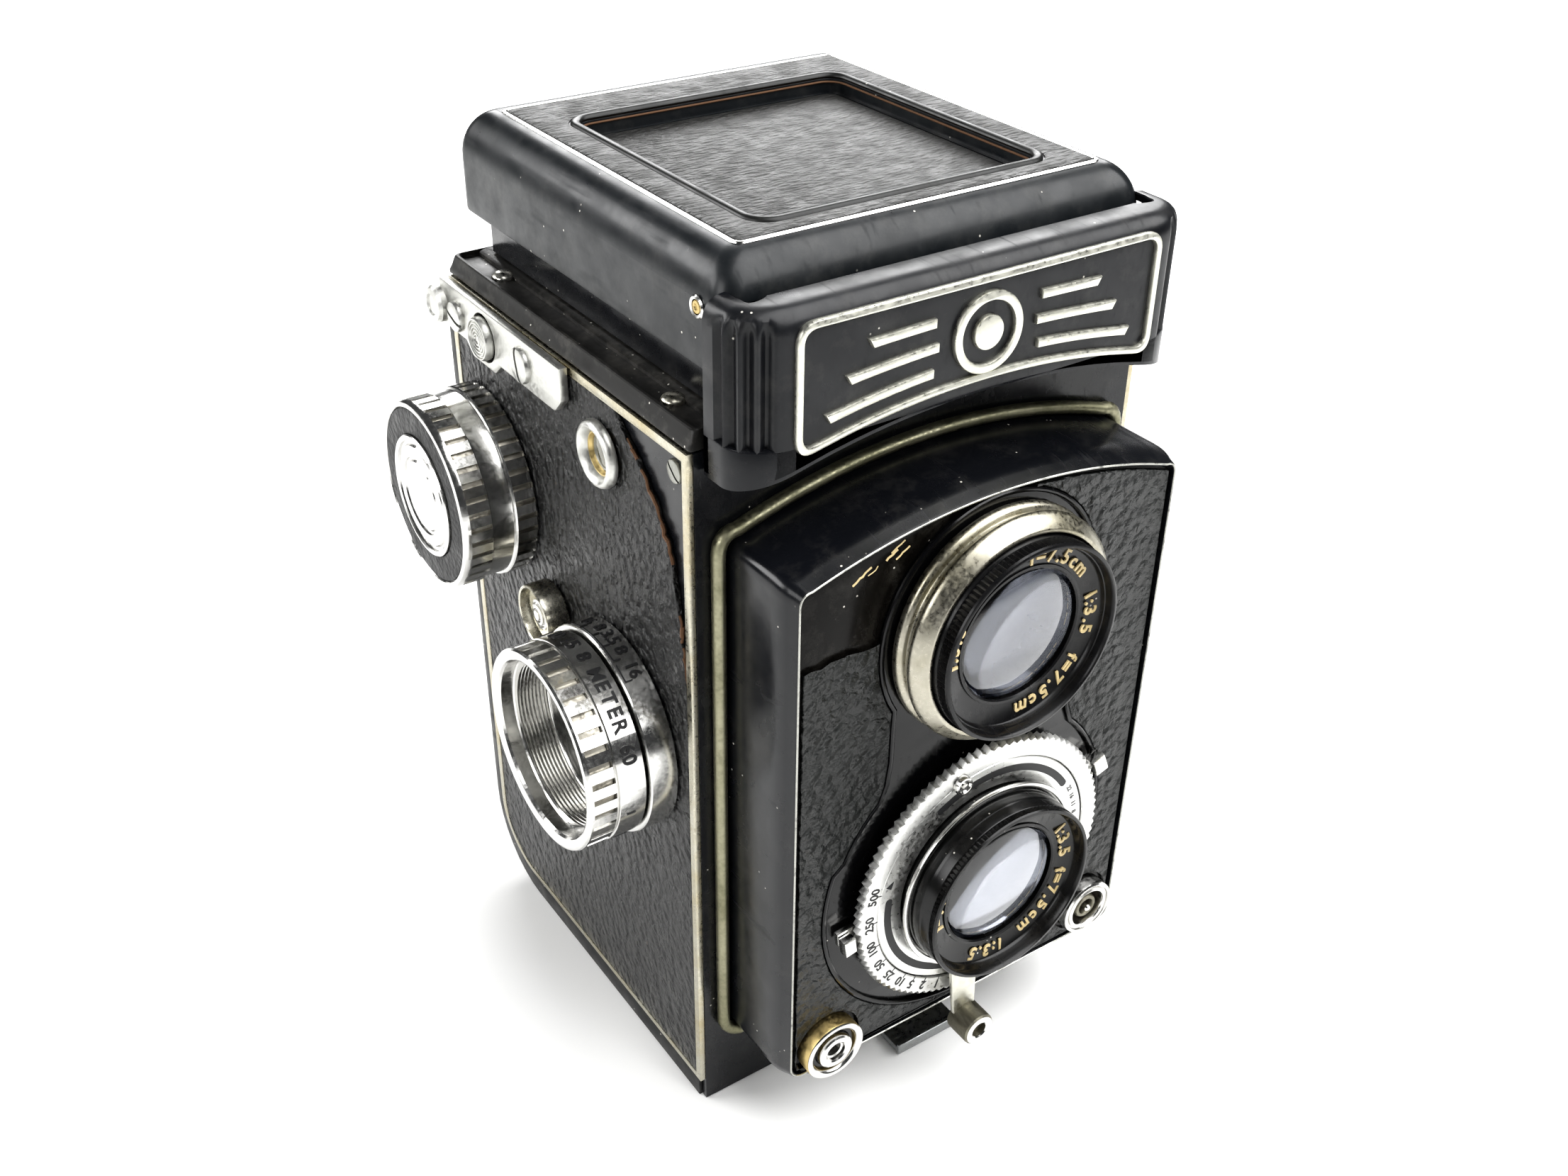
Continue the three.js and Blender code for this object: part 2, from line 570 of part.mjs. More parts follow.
function standardShell() {
  const inner = archedPanel(-1.6);
  return cut(
    plateXZ(archedPanel(0), BOARD_FRONT, BOARD_REAR),
    plateXZ(inner, BOARD_FRONT + 2, BOARD_REAR + 1),
    turned(disc(15.4, 40, 60), "front", 0, VIEWING_Z, 24),
    turned(disc(18, 40, 60), "front", 0, TAKING_Z, 24),
    turned(disc(3.5, 40, 60), "front", BUTTON.x, BUTTON.z, 12),
  );
}
add("standard_shell", standardShell(), "black");

// Figure-of-eight plate: a larger and a smaller disc whose outlines meet at the waist.
const EIGHT = { upper: 18.6, lower: 25.6, waist: 16, waistZ: 70 };
function eightSolid(grow, y0, y1) {
  const upper = new THREE.Shape().absarc(0, VIEWING_Z, EIGHT.upper + grow, 0, Math.PI * 2, false);
  const lower = new THREE.Shape().absarc(0, TAKING_Z, EIGHT.lower + grow, 0, Math.PI * 2, false);
  const side = EIGHT.waist + grow;
  const waist = polygon([
    [-side - 2, EIGHT.waistZ - 9], [side + 2, EIGHT.waistZ - 9], [side, EIGHT.waistZ + 1],
    [side, EIGHT.waistZ + 9], [-side, EIGHT.waistZ + 9], [-side, EIGHT.waistZ + 1],
  ]);
  const round = (shape) => toSolid(
    extrude(shape, y1 - y0, 14).applyMatrix4(TURN_XZ).translate(0, y1, 0),
  );
  return join(round(upper), round(lower), plateXZ(waist, y0, y1));
}
const FACE = BOARD_FRONT - GAP; // rear of what lies on the standard's face
function eightPlate() {
  return cut(
    eightSolid(0, FACE - 0.5, FACE),
    turned(disc(15.4, 40, 60), "front", 0, VIEWING_Z, 24),
    turned(disc(18, 40, 60), "front", 0, TAKING_Z, 24),
  );
}
add("eight_plate", eightPlate(), "black");

function standardLeather() {
  return cut(
    plateXZ(archedPanel(-1.3), FACE - SKIN, FACE),
    eightSolid(0.4, FACE - 2, FACE + 1),
    turned(disc(5.7, 40, 60), "front", BUTTON.x, BUTTON.z, 16),
    turned(disc(5.3, 40, 60), "front", SOCKET.x, SOCKET.z, 16),
  );
}
add("standard_leather", standardLeather(), "leather");

const FRONT_OF_PLATE = -FACE + 0.5 + GAP; // distance along -Y of the first free plane

add("viewing_mount_ring", turned(
  [[15.3, FRONT_OF_PLATE], [17.5, FRONT_OF_PLATE], [17.5, 54.2], [16.9, 54.6], [16.9, 55], [17.4, 55.4],
    [17.4, 57], [16.9, 57.3], [15.3, 57.3], [15.3, FRONT_OF_PLATE]],
  "front", 0, VIEWING_Z, 28,
), "patina");
add("viewing_lens_barrel", turned(
  [[10.6, 44], [14.9, 44], [14.9, 59.6], [14.5, 60], [13.6, 60], [11.8, 57.4], [11.8, 56.4], [10.6, 56.4],
    [10.6, 44]],
  "front", 0, VIEWING_Z, 28,
), "black");
const glassProfile = (r, seat, crown) => [
  [0, seat - 4], [r, seat - 2], [r, seat], [r * 0.66, seat + crown * 0.56], [r * 0.33, seat + crown * 0.89],
  [0, seat + crown],
];
add("viewing_lens_glass", turned(glassProfile(10.2, 56.2, 1.6), "front", 0, VIEWING_Z, 24), "glass");

// Shutter and taking lens.
const sector = (r0, r1, a0, a1) => {
  const rad = THREE.MathUtils.degToRad;
  const shape = new THREE.Shape();
  shape.absarc(0, TAKING_Z, r1, rad(a0), rad(a1), false);
  shape.absarc(0, TAKING_Z, r0, rad(a1), rad(a0), true);
  return shape;
};
add("shutter_housing", join(
  turned(
    [[15.3, 43], [17.5, 43], [17.5, FRONT_OF_PLATE], [21, FRONT_OF_PLATE], [21, 52.4], [15.3, 52.4],
      [15.3, 43]],
    "front", 0, TAKING_Z, 28,
  ),
  plateXZ(sector(20.5, 25.2, 183, 189), -52.4, -FRONT_OF_PLATE),
), "black");
add("speed_ring", turned(ring(19.8, 23.05, 52.7, 54.4), "front", 0, TAKING_Z, 32), "chrome");
add("shutter_face", turned(ring(15.3, 19.5, 52.7, 54.1), "front", 0, TAKING_Z, 28), "chrome");
add("aperture_lever", join(
  plateXZ(sector(21.4, 22.6, -2, 46), -52.3, -FRONT_OF_PLATE - 0.1),
  plateXZ(sector(22.5, 24, 18, 26), -52.3, -FRONT_OF_PLATE - 0.1),
  plateXZ(sector(23.5, 26, 18, 26), -54, -FRONT_OF_PLATE - 0.1),
), "chrome");
add("taking_lens_barrel", turned(
  [[10.6, 44], [14.9, 44], [14.9, 58], [14.7, 58.4], [14.7, 60.9], [14.3, 61.3], [13.4, 61.3],
    [11.6, 58.6], [11.6, 57.6], [10.6, 57.6], [10.6, 44]],
  "front", 0, TAKING_Z, 28,
), "black");
add("taking_lens_glass", turned(glassProfile(10.2, 57.4, 1.6), "front", 0, TAKING_Z, 24), "glass");

function cockingLever() {
  const tip = { x: -2.8, z: 17.5 };
  const arm = polygon([
    [-6.6, TAKING_Z - 15.6], [-1.4, TAKING_Z - 15.6], [-1.2, tip.z], [-4.8, tip.z],
  ]);
  return join(
    turned(ring(15.3, 17, 55.6, 56.6), "front", 0, TAKING_Z, 28),
    plateXZ(arm, -56.6, -55.6),
    turned(disc(2.8, 55.6, 60.2), "front", tip.x, tip.z, 14),
  );
}
add("cocking_lever", cockingLever(), "patina");

add("shutter_release_collar", turned(
  [[3.9, -FACE], [5.4, -FACE], [5.4, 53], [4.9, 53.3], [3.9, 53.3], [3.9, -FACE]],
  "front", BUTTON.x, BUTTON.z, 20,
), "chrome");
add("shutter_release_button", turned(
  [[0, 46], [3.1, 46], [3.1, 53.4], [2.8, 53.7], [1.5, 53.7], [1.5, 51.5], [0, 51.5]],
  "front", BUTTON.x, BUTTON.z, 16,
), "chrome");
add("flash_socket", turned(
  [[0, -FACE], [5, -FACE], [5, 53.2], [4.6, 53.5], [3.2, 53.5], [3.2, 51.6], [0.9, 51.6], [0.9, 53.2],
    [0, 53.2]],
  "front", SOCKET.x, SOCKET.z, 20,
), "chrome");

export default camera;
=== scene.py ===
"""Looks of the twin lens reflex camera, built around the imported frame. Lengths below are millimetres."""
import json
import math
import random

import bmesh
import bpy
from mathutils import Matrix, Vector


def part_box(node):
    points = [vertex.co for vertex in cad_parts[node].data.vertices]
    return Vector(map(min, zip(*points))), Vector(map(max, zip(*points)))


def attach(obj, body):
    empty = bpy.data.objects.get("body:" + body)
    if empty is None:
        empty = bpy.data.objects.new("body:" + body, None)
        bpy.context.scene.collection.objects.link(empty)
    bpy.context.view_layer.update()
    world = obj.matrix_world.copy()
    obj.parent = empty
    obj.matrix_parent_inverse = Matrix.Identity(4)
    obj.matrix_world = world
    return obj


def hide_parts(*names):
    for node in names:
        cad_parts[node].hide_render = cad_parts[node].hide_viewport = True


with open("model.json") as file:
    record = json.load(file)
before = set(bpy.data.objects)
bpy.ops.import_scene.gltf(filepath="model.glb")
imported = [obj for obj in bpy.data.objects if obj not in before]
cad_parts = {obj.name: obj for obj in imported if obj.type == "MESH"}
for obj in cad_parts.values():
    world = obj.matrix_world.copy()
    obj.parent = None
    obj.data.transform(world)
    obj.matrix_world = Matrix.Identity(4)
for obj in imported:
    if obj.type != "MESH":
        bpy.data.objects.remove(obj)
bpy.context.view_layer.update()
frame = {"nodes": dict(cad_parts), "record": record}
MM = 0.001
random.seed(7)


# ---- Places, read from the frame ------------------------------------------------------------------
def low(node):
    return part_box(node)[0] / MM


def high(node):
    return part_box(node)[1] / MM


def middle(node):
    return (low(node) + high(node)) / 2


TAKING_Z = middle("speed_ring").z
VIEWING_Z = middle("viewing_mount_ring").z
WIND = middle("wind_knob")
FOCUS = middle("focus_knob")
COUNTER = middle("counter_bezel")
RELEASE = middle("release_collar")
RESET = middle("counter_reset_button")
BUTTON = middle("shutter_release_button")
SOCKET = middle("flash_socket")
SUPPLY = middle("lower_spool_knob")
BUSH_Y = middle("tripod_bush").y
KNURLED_KNOB = 2.8  # radius of the cocking lever's knob
LEVER_X, LEVER_Z = -2.8, low("cocking_lever").z + KNURLED_KNOB
SIDE = 38.4  # outer face of the leather, from the middle
FRONT = low("body_shell").y
BODY = {
    node: body
    for body, nodes in frame["record"]["behaviour"]["bodies"].items()
    for node in nodes
}
SLOT = {part["node"]: part["material_slot"] for part in frame["record"]["subparts"]}

# Axes of the turned pieces: the way they point, and where they stand in the face
WIND_AXIS = ("left", WIND.y, WIND.z)
FOCUS_AXIS = ("left", FOCUS.y, FOCUS.z)
COUNTER_AXIS = ("left", COUNTER.y, COUNTER.z)
RELEASE_AXIS = ("left", RELEASE.y, RELEASE.z)
RESET_AXIS = ("left", RESET.y, RESET.z)
BUTTON_AXIS = ("front", BUTTON.x, BUTTON.z)
SOCKET_AXIS = ("front", SOCKET.x, SOCKET.z)
LEVER_AXIS = ("front", LEVER_X, LEVER_Z)
TAKING_AXIS = ("front", 0, TAKING_Z)
VIEWING_AXIS = ("front", 0, VIEWING_Z)
BUSH_AXIS = ("up", 0, BUSH_Y)
DIAL_AXIS = ("left", -13, 102.5)
LID_HINGE = (-32, 135)
MAGNIFIER_HINGE = (-2.4, 133.4)


# ---- Mesh building --------------------------------------------------------------------------------
WELD = 1e-7  # metres within which vertices are one
CAD_WELD = 1e-6
FLAT = math.radians(2)  # faces closer than this to one plane are one face


def linked(name, data):
    """An object of the data, in the scene."""
    thing = bpy.data.objects.new(name, data)
    bpy.context.scene.collection.objects.link(thing)
    return thing


def add_piece(name, verts, faces, body, material, sharp=35, replaces=()):
    """A mesh object from millimetre points, shaded smooth except at edges sharper than an angle."""
    mesh = bpy.data.meshes.new(name)
    mesh.from_pydata([Vector(v) * MM for v in verts], [], faces)
    return settle(name, mesh, body, material, sharp, replaces)


def shade(mesh, sharp):
    mesh.shade_smooth()
    mesh.set_sharp_from_angle(angle=math.radians(sharp))


def settle(name, mesh, body, material, sharp=35, replaces=()):
    """Cleans a mesh and makes it a piece that rides a body."""
    work = bmesh.new()
    work.from_mesh(mesh)
    bmesh.ops.remove_doubles(work, verts=work.verts, dist=WELD)
    bmesh.ops.recalc_face_normals(work, faces=work.faces)
    work.to_mesh(mesh)
    work.free()
    mesh.materials.clear()
    mesh.materials.append(material)
    shade(mesh, sharp)
    piece = linked(name, mesh)
    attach(piece, body)
    if replaces:
        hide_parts(*replaces)
    return piece


def applied(piece, *modifiers):
    """Applies modifiers, given as (type, settings), and leaves plain mesh."""
    for kind, settings in modifiers:
        modifier = piece.modifiers.new(kind.title(), kind)
        for key, value in settings.items():
            setattr(modifier, key, value)
    graph = bpy.context.evaluated_depsgraph_get()
    done = bpy.data.meshes.new_from_object(piece.evaluated_get(graph))
    piece.modifiers.clear()
    piece.data = done


def soften(node, material, width):
    """A copy of a CAD node with rounded edges, standing for it."""
    sharp = 35
    mesh = frame["nodes"][node].data.copy()
    work = bmesh.new()
    work.from_mesh(mesh)
    bmesh.ops.remove_doubles(work, verts=work.verts, dist=CAD_WELD)
    bmesh.ops.dissolve_limit(work, angle_limit=FLAT, verts=work.verts, edges=work.edges)
    work.to_mesh(mesh)
    work.free()
    piece = settle(node + "_finished", mesh, BODY[node], material, sharp, (node,))
    bevel = {
        "width": width * MM, "segments": 2, "limit_method": "ANGLE",
        "angle_limit": math.radians(28), "harden_normals": False,
    }
    applied(piece, ("BEVEL", bevel))
    shade(piece.data, sharp)


# A local frame for things that face forwards, left, right or down: u and v lie in the face and
# w points out of it.
TOWARDS = {
    "front": lambda u, v, w: (u, -w, v),
    "left": lambda u, v, w: (-w, u, v),
    "right": lambda u, v, w: (w, u, v),
    "up": lambda u, v, w: (u, v, w),
    "down": lambda u, v, w: (u, v, -w),
}


def place(towards, a, b, u, v, w):
    return TOWARDS[towards](a + u, b + v, w)


def turned(name, profile, towards, a, b, body, slot, material,
           around=72, teeth=0, shape=((0, 0), (0.55, 0), (0.6, 1), (0.95, 1)), sharp=35, replaces=()):
    """A profile of (radius, distance[, tooth depth]) turned about the axis through (a, b)."""
    if teeth:
        steps = [((tooth + at) / teeth, depth) for tooth in range(teeth) for at, depth in shape]
    else:
        steps = [(i / around, 0) for i in range(around)]
    count = len(steps)
    verts, faces, rows = [], [], []
    for point in profile:
        radius, distance = point[0], point[1]
        cut = point[2] if len(point) > 2 else 0
        if radius < 1e-6:
            rows.append([len(verts)] * count)
            verts.append(place(towards, a, b, 0, 0, distance))
            continue
        rows.append(list(range(len(verts), len(verts) + count)))
        for at, depth in steps:
            angle = 2 * math.pi * at
            r = radius - cut * depth
            verts.append(place(towards, a, b, r * math.cos(angle), r * math.sin(angle), distance))
    for row, after in zip(rows, rows[1:]):
        for i in range(count):
            j = (i + 1) % count
            face = [row[i], row[j], after[j], after[i]]
            face = [v for k, v in enumerate(face) if v != face[k - 1]]
            if len(face) > 2:
                faces.append(face)
    return add_piece(name, verts, faces, body, material, sharp, replaces)


def finished(make, name, *shape, finish, node=None, **options):
    """What turned or slab makes, standing for a CAD node on its body."""
    node = node or name
    return make(name + "_finished", *shape, BODY[node], SLOT[node], finish, replaces=(node,), **options)


def ring_profile(inner, outer, near, far, edge=0.2):
    """A closed ring section with eased front edges."""
    return [
        (inner, near), (outer, near), (outer, far - edge), (outer - edge * 0.3, far - edge * 0.3),
        (outer - edge, far), (inner + edge, far), (inner + edge * 0.3, far - edge * 0.3),
        (inner, far - edge), (inner, near),
    ]


def loft(rings, closed=False, cap_first=False, cap_last=False):
    """Quads between rings of equally many points."""
    verts = [point for ring in rings for point in ring]
    count = len(rings[0])
    faces = []
    pairs = list(zip(range(len(rings)), range(1, len(rings))))
    if closed:
        pairs.append((len(rings) - 1, 0))
    for first, second in pairs:
        for i in range(count):
            j = (i + 1) % count
            faces.append([first * count + i, first * count + j, second * count + j, second * count + i])
    if cap_first:
        faces.append(list(range(count)))
    if cap_last:
        faces.append([(len(rings) - 1) * count + i for i in range(count)])
    return verts, faces


def rect_ring(x0, x1, y0, y1, r, z, steps=8):
    ring = []
    corners = [(x1 - r, y0 + r, -90), (x1 - r, y1 - r, 0), (x0 + r, y1 - r, 90), (x0 + r, y0 + r, 180)]
    for cx, cy, start in corners:
        for i in range(steps + 1):
            angle = math.radians(start + 90 * i / steps)
            ring.append((cx + r * math.cos(angle), cy + r * math.sin(angle), z))
    return ring


BOARD = {"half": 33.5, "bottom": 15.3, "top": 109.6, "radius": 96.0, "corner": 3.0}


def arched_outline(grow, corner=None, steps=6, arch_steps=32):
    """The standard's outline in (x, z), grown outwards."""
    half = BOARD["half"] + grow
    bottom = BOARD["bottom"] - grow
    radius = BOARD["radius"] + grow
    centre = BOARD["top"] - BOARD["radius"]
    c = max(0.4, (BOARD["corner"] if corner is None else corner) + grow * 0.6)
    shoulder = math.asin((half - c * 0.8) / radius)
    knee = centre + radius * math.cos(shoulder)

    def foot(cx, start):
        turns = [math.radians(start + 90 * i / steps) for i in range(steps + 1)]
        return [(cx + c * math.cos(turn), bottom + c + c * math.sin(turn)) for turn in turns]

    def head(i):
        t = i / steps
        return half - c * 0.8 * t * t, knee - c * 0.9 * (1 - t) ** 2

    points = foot(half - c, -90) + [head(i) for i in range(steps)]
    for i in range(arch_steps + 1):
        angle = shoulder * (1 - 2 * i / arch_steps)
        points.append((radius * math.sin(angle), centre + radius * math.cos(angle)))
    points += [(-x, z) for x, z in map(head, range(steps - 1, -1, -1))]
    return points + foot(-half + c, 180)


def arched_ring(grow, y, corner=None):
    return [(x, y, z) for x, z in arched_outline(grow, corner)]


def circle_outline(r, a=0.0, b=0.0, count=64):
    return [
        (a + r * math.cos(2 * math.pi * i / count), b + r * math.sin(2 * math.pi * i / count))
        for i in range(count)
    ]


def filled_curve(name, outlines, size=1.0):
    """A flat filled curve of an outline and its holes."""
    curve = bpy.data.curves.new(name, "CURVE")
    curve.dimensions = "2D"
    curve.fill_mode = "BOTH"
    for outline in outlines:
        spline = curve.splines.new("POLY")
        spline.points.add(len(outline) - 1)
        for point, (u, v) in zip(spline.points, outline):
            point.co = (u * size, v * size, 0, 1)
        spline.use_cyclic_u = True
    return curve


def curve_mesh(curve):
    """The mesh of a curve, which is then removed."""
    holder = linked(curve.name + "_outline", curve)
    graph = bpy.context.evaluated_depsgraph_get()
    graph.update()
    mesh = bpy.data.meshes.new_from_object(holder.evaluated_get(graph))
    bpy.data.objects.remove(holder)
    bpy.data.curves.remove(curve)
    return mesh


def slab(name, outlines, towards, near, far, body, slot, material, edge=0.15, sharp=35, replaces=()):
    """A flat piece from an outline and its holes, with eased edges, between two distances."""
    curve = filled_curve(name, outlines)
    half = (far - near) / 2
    curve.extrude = half - edge
    curve.bevel_depth = edge
    curve.bevel_resolution = 1
    curve.offset = -edge
    mesh = curve_mesh(curve)
    for vertex in mesh.vertices:
        u, v, w = vertex.co
        vertex.co = Vector(TOWARDS[towards](u, v, (near + far) / 2 + w)) * MM
    return settle(name, mesh, body, material, sharp, replaces)


def tube(name, path, radius, body, material, closed=True, around=10, flat=1.0, out=(0, -1, 0)):
    """A round or flattened bead along a path of points; out is the way its height points."""
    out = Vector(out)
    rings = []
    count = len(path)
    for i, point in enumerate(path):
        before = Vector(path[(i - 1) % count] if closed or i else path[0])
        after = Vector(path[(i + 1) % count] if closed or i < count - 1 else path[-1])
        along = (after - before).normalized()
        across = along.cross(out).normalized()
        rings.append([
            Vector(point) + across * (radius * math.cos(2 * math.pi * k / around))
            + out * (radius * flat * math.sin(2 * math.pi * k / around))
            for k in range(around)
        ])
    verts, faces = loft(rings, closed=closed, cap_first=not closed, cap_last=not closed)
    return add_piece(name, verts, faces, body, material)


BOLD = 0.022  # outward growth of the strokes, as a share of the size


def glyphs(shape, size, depth):
    """A thin solid from a text or from closed outlines."""
    if isinstance(shape, str):
        data = bpy.data.curves.new("figure", "FONT")
        data.body = shape
        data.size = size
        data.align_x = "CENTER"
        data.align_y = "CENTER"
        data.resolution_u = 3
        data.offset = size * BOLD
    else:
        data = filled_curve("figure", shape, size)
    data.extrude = depth / 2
    return curve_mesh(data)


def figures(name, items, body, material, depth=0.04):
    """Raised figures joined into one piece. Each item is (shape, size, where), where mapping to a place."""
    joined = bmesh.new()
    for shape, size, where in items:
        mesh = glyphs(shape, size, depth)
        for vertex in mesh.vertices:
            u, v, w = vertex.co
            vertex.co = Vector(where(u, v, w + depth / 2)) * MM
        joined.from_mesh(mesh)
        bpy.data.meshes.remove(mesh)
    mesh = bpy.data.meshes.new(name)
    joined.to_mesh(mesh)
    joined.free()
    return settle(name, mesh, body, material)


def on_face(towards, a, b, distance, u0, v0, turn=0.0):
    cos, sin = math.cos(math.radians(turn)), math.sin(math.radians(turn))
    flip = -1 if towards == "left" else 1
    return lambda u, v, w: place(
        towards, a, b, flip * (u0 + u * cos - v * sin), v0 + u * sin + v * cos, distance + w
    )


def on_ring(towards, a, b, distance, radius, angle):
    """On a flat ring, tops outwards, at an angle seen from the front of the face."""
    turn = math.radians(angle)
    return on_face(towards, a, b, distance, radius * math.cos(turn), radius * math.sin(turn), angle - 90)


def on_drum(towards, a, b, radius, angle, distance):
    """Wrapped round a drum, reading round the axis with tops towards the body."""
    def where(u, v, w):
        turn = math.radians(angle) + u / radius
        r = radius + w
        return place(towards, a, b, r * math.cos(turn), r * math.sin(turn), distance - v)
    return where


def prism(outline, towards, near, far):
    """A temporary cutter."""
    verts = [place(towards, 0, 0, u, v, near) for u, v in outline]
    verts += [place(towards, 0, 0, u, v, far) for u, v in outline]
    count = len(outline)
    faces = [list(range(count)), list(range(count, 2 * count))]
    faces += [[i, (i + 1) % count, count + (i + 1) % count, count + i] for i in range(count)]
    mesh = bpy.data.meshes.new("cutter")
    mesh.from_pydata([Vector(v) * MM for v in verts], [], faces)
    work = bmesh.new()
    work.from_mesh(mesh)
    bmesh.ops.recalc_face_normals(work, faces=work.faces)
    work.to_mesh(mesh)
    work.free()
    return linked("cutter", mesh)


def carve(piece, *cutters, sharp=35):
    cuts = [("BOOLEAN", {"object": c, "operation": "DIFFERENCE", "solver": "EXACT"}) for c in cutters]
    applied(piece, *cuts)
    for cutter in cutters:
        bpy.data.objects.remove(cutter)
    shade(piece.data, sharp)


def box_outline(x0, x1, y0, y1):
    return [(x0, y0), (x1, y0), (x1, y1), (x0, y1)]


def flat(ring):
    return [point[:2] for point in ring]


# ---- Materials ------------------------------------------------------------------------------------
PER_METRE = 1000


def scaled(colour, factor, lift=0.0):
    return tuple(min(1, c * factor + lift) for c in colour)


class Shader:
    """A small helper around one node material."""

    def __init__(self, name, colour, roughness, metallic=0.0, **sockets):
        self.material = bpy.data.materials.new(name)
        self.material.use_nodes = True
        self.tree = self.material.node_tree
        self.shader = self.tree.nodes["Principled BSDF"]
        self.set("Base Color", (*colour, 1))
        self.set("Roughness", roughness)
        self.set("Metallic", metallic)
        for key, value in sockets.items():
            self.set(key.replace("_", " "), value)
        self.position = self.node("ShaderNodeTexCoord").outputs["Object"]

    def set(self, socket, value):
        self.shader.inputs[socket].default_value = value

    def node(self, kind, inputs=None, **settings):
        made = self.tree.nodes.new(kind)
        for key, value in settings.items():
            setattr(made, key, value)
        for key, value in (inputs or {}).items():
            if hasattr(value, "is_output"):
                self.tree.links.new(value, made.inputs[key])
            else:
                made.inputs[key].default_value = value
        return made

    def link(self, output, socket):
        self.tree.links.new(output, self.shader.inputs[socket])

    def mapped(self, scale, stretch=(1, 1, 1)):
        """The position, scaled to so many cells per millimetre."""
        scales = [s * PER_METRE * scale for s in stretch]
        return self.node("ShaderNodeMapping", {"Vector": self.position, "Scale": scales}).outputs[0]

    def noise(self, scale, detail=3.0, rough=0.55, stretch=(1, 1, 1)):
        return self.node("ShaderNodeTexNoise", {
            "Vector": self.mapped(scale, stretch), "Scale": 1.0, "Detail": detail, "Roughness": rough,
        }).outputs["Fac"]

    def cells(self, scale):
        inputs = {"Vector": self.mapped(scale), "Scale": 1.0}
        return self.node("ShaderNodeTexVoronoi", inputs).outputs["Distance"]

    def spread(self, value, low_in, high_in, low_out=0.0, high_out=1.0):
        return self.node("ShaderNodeMapRange", {
            "Value": value, "From Min": low_in, "From Max": high_in, "To Min": low_out, "To Max": high_out,
        }).outputs[0]

    def maths(self, operation, a, b):
        made = self.node("ShaderNodeMath", operation=operation)
        for socket, value in zip(made.inputs, (a, b)):
            if hasattr(value, "is_output"):
                self.tree.links.new(value, socket)
            else:
                socket.default_value = value
        return made.outputs[0]

    def mix(self, factor, a, b):
        made = self.node("ShaderNodeMix", data_type="RGBA")
        for socket, value in zip((made.inputs[0], made.inputs[6], made.inputs[7]), (factor, a, b)):
            if hasattr(value, "is_output"):
                self.tree.links.new(value, socket)
            else:
                socket.default_value = value if isinstance(value, float) else (*value, 1)
        return made.outputs[2]

    def bump(self, height, strength, distance):
        """Adds a bump over any that is there; distance is in millimetres."""
        inputs = {"Height": height, "Strength": strength, "Distance": distance * MM}
        if self.shader.inputs["Normal"].is_linked:
            inputs["Normal"] = self.shader.inputs["Normal"].links[0].from_socket
        self.link(self.node("ShaderNodeBump", inputs).outputs[0], "Normal")


def enamel(name, colour, roughness, chips=0.5, dust=0.5, worn=(0.42, 0.38, 0.3), gloss=0.32):
    """Black stove enamel: slight orange peel, fine scratches, dust specks and chips to the metal."""
    s = Shader(name, colour, roughness, Specular_IOR_Level=gloss, Coat_Weight=0.05, Coat_Roughness=0.12)
    cloud = s.noise(0.05, 4)
    chip = s.spread(s.noise(0.55, 6, 0.7), 0.775 - 0.03 * chips, 0.79 - 0.03 * chips)
    speck = s.spread(s.cells(0.55), 0.10, 0.06)
    sparse = s.spread(s.noise(0.11, 2), 0.60 - 0.06 * dust, 0.63 - 0.06 * dust)
    speck = s.maths("MULTIPLY", speck, sparse)
    tone = s.mix(cloud, scaled(colour, 0.75), scaled(colour, 1.5, 0.001))
    dusty = s.mix(s.spread(s.noise(0.22, 5, 0.7), 0.5, 0.8, 0, 0.16 * dust), tone, (0.2, 0.19, 0.17))
    base = s.mix(chip, dusty, worn)
    s.link(s.mix(speck, base, (0.55, 0.53, 0.48)), "Base Color")
    scratch = s.noise(1.2, 2, 0.5, (1, 0.06, 0.3))
    rough = s.spread(s.noise(0.16, 5, 0.6), 0.3, 0.75, roughness * 0.75, roughness * 1.45)
    s.link(s.maths("ADD", rough, s.spread(scratch, 0.6, 0.75, 0, 0.15)), "Roughness")
    s.link(chip, "Metallic")
    s.bump(s.noise(0.9, 3), 0.12, 0.05)
    s.bump(chip, -0.6, 0.04)
    return s.material


def metal(name, colour, roughness, grime=0.4, grime_colour=(0.1, 0.075, 0.04), stain=None):
    """Plated metal: smears, pits, fine marks and brown grime."""
    s = Shader(name, colour, roughness, metallic=1.0)
    smear = s.noise(0.12, 5, 0.65)
    tone = s.mix(smear, scaled(colour, 0.86), scaled(colour, 1.08))
    if stain:
        tone = s.mix(s.spread(s.noise(0.09, 4, 0.7), 0.42, 0.66), tone, stain)
    dirt = s.spread(s.noise(0.45, 6, 0.75), 0.72 - 0.2 * grime, 0.86 - 0.12 * grime, 0, 0.85)
    s.link(s.mix(dirt, tone, grime_colour), "Base Color")
    marks = s.spread(s.noise(1.6, 3, 0.6), 0.35, 0.7, roughness * 0.75, roughness * 1.5)
    s.link(s.maths("ADD", marks, s.maths("MULTIPLY", dirt, 0.35)), "Roughness")
    s.link(s.maths("SUBTRACT", 1.0, s.maths("MULTIPLY", dirt, 0.8)), "Metallic")
    s.bump(s.noise(2.2, 2, 0.5), 0.08, 0.03)
    s.bump(s.spread(s.noise(0.8, 5, 0.7), 0.66, 0.72), -0.25, 0.04)
    return s.material


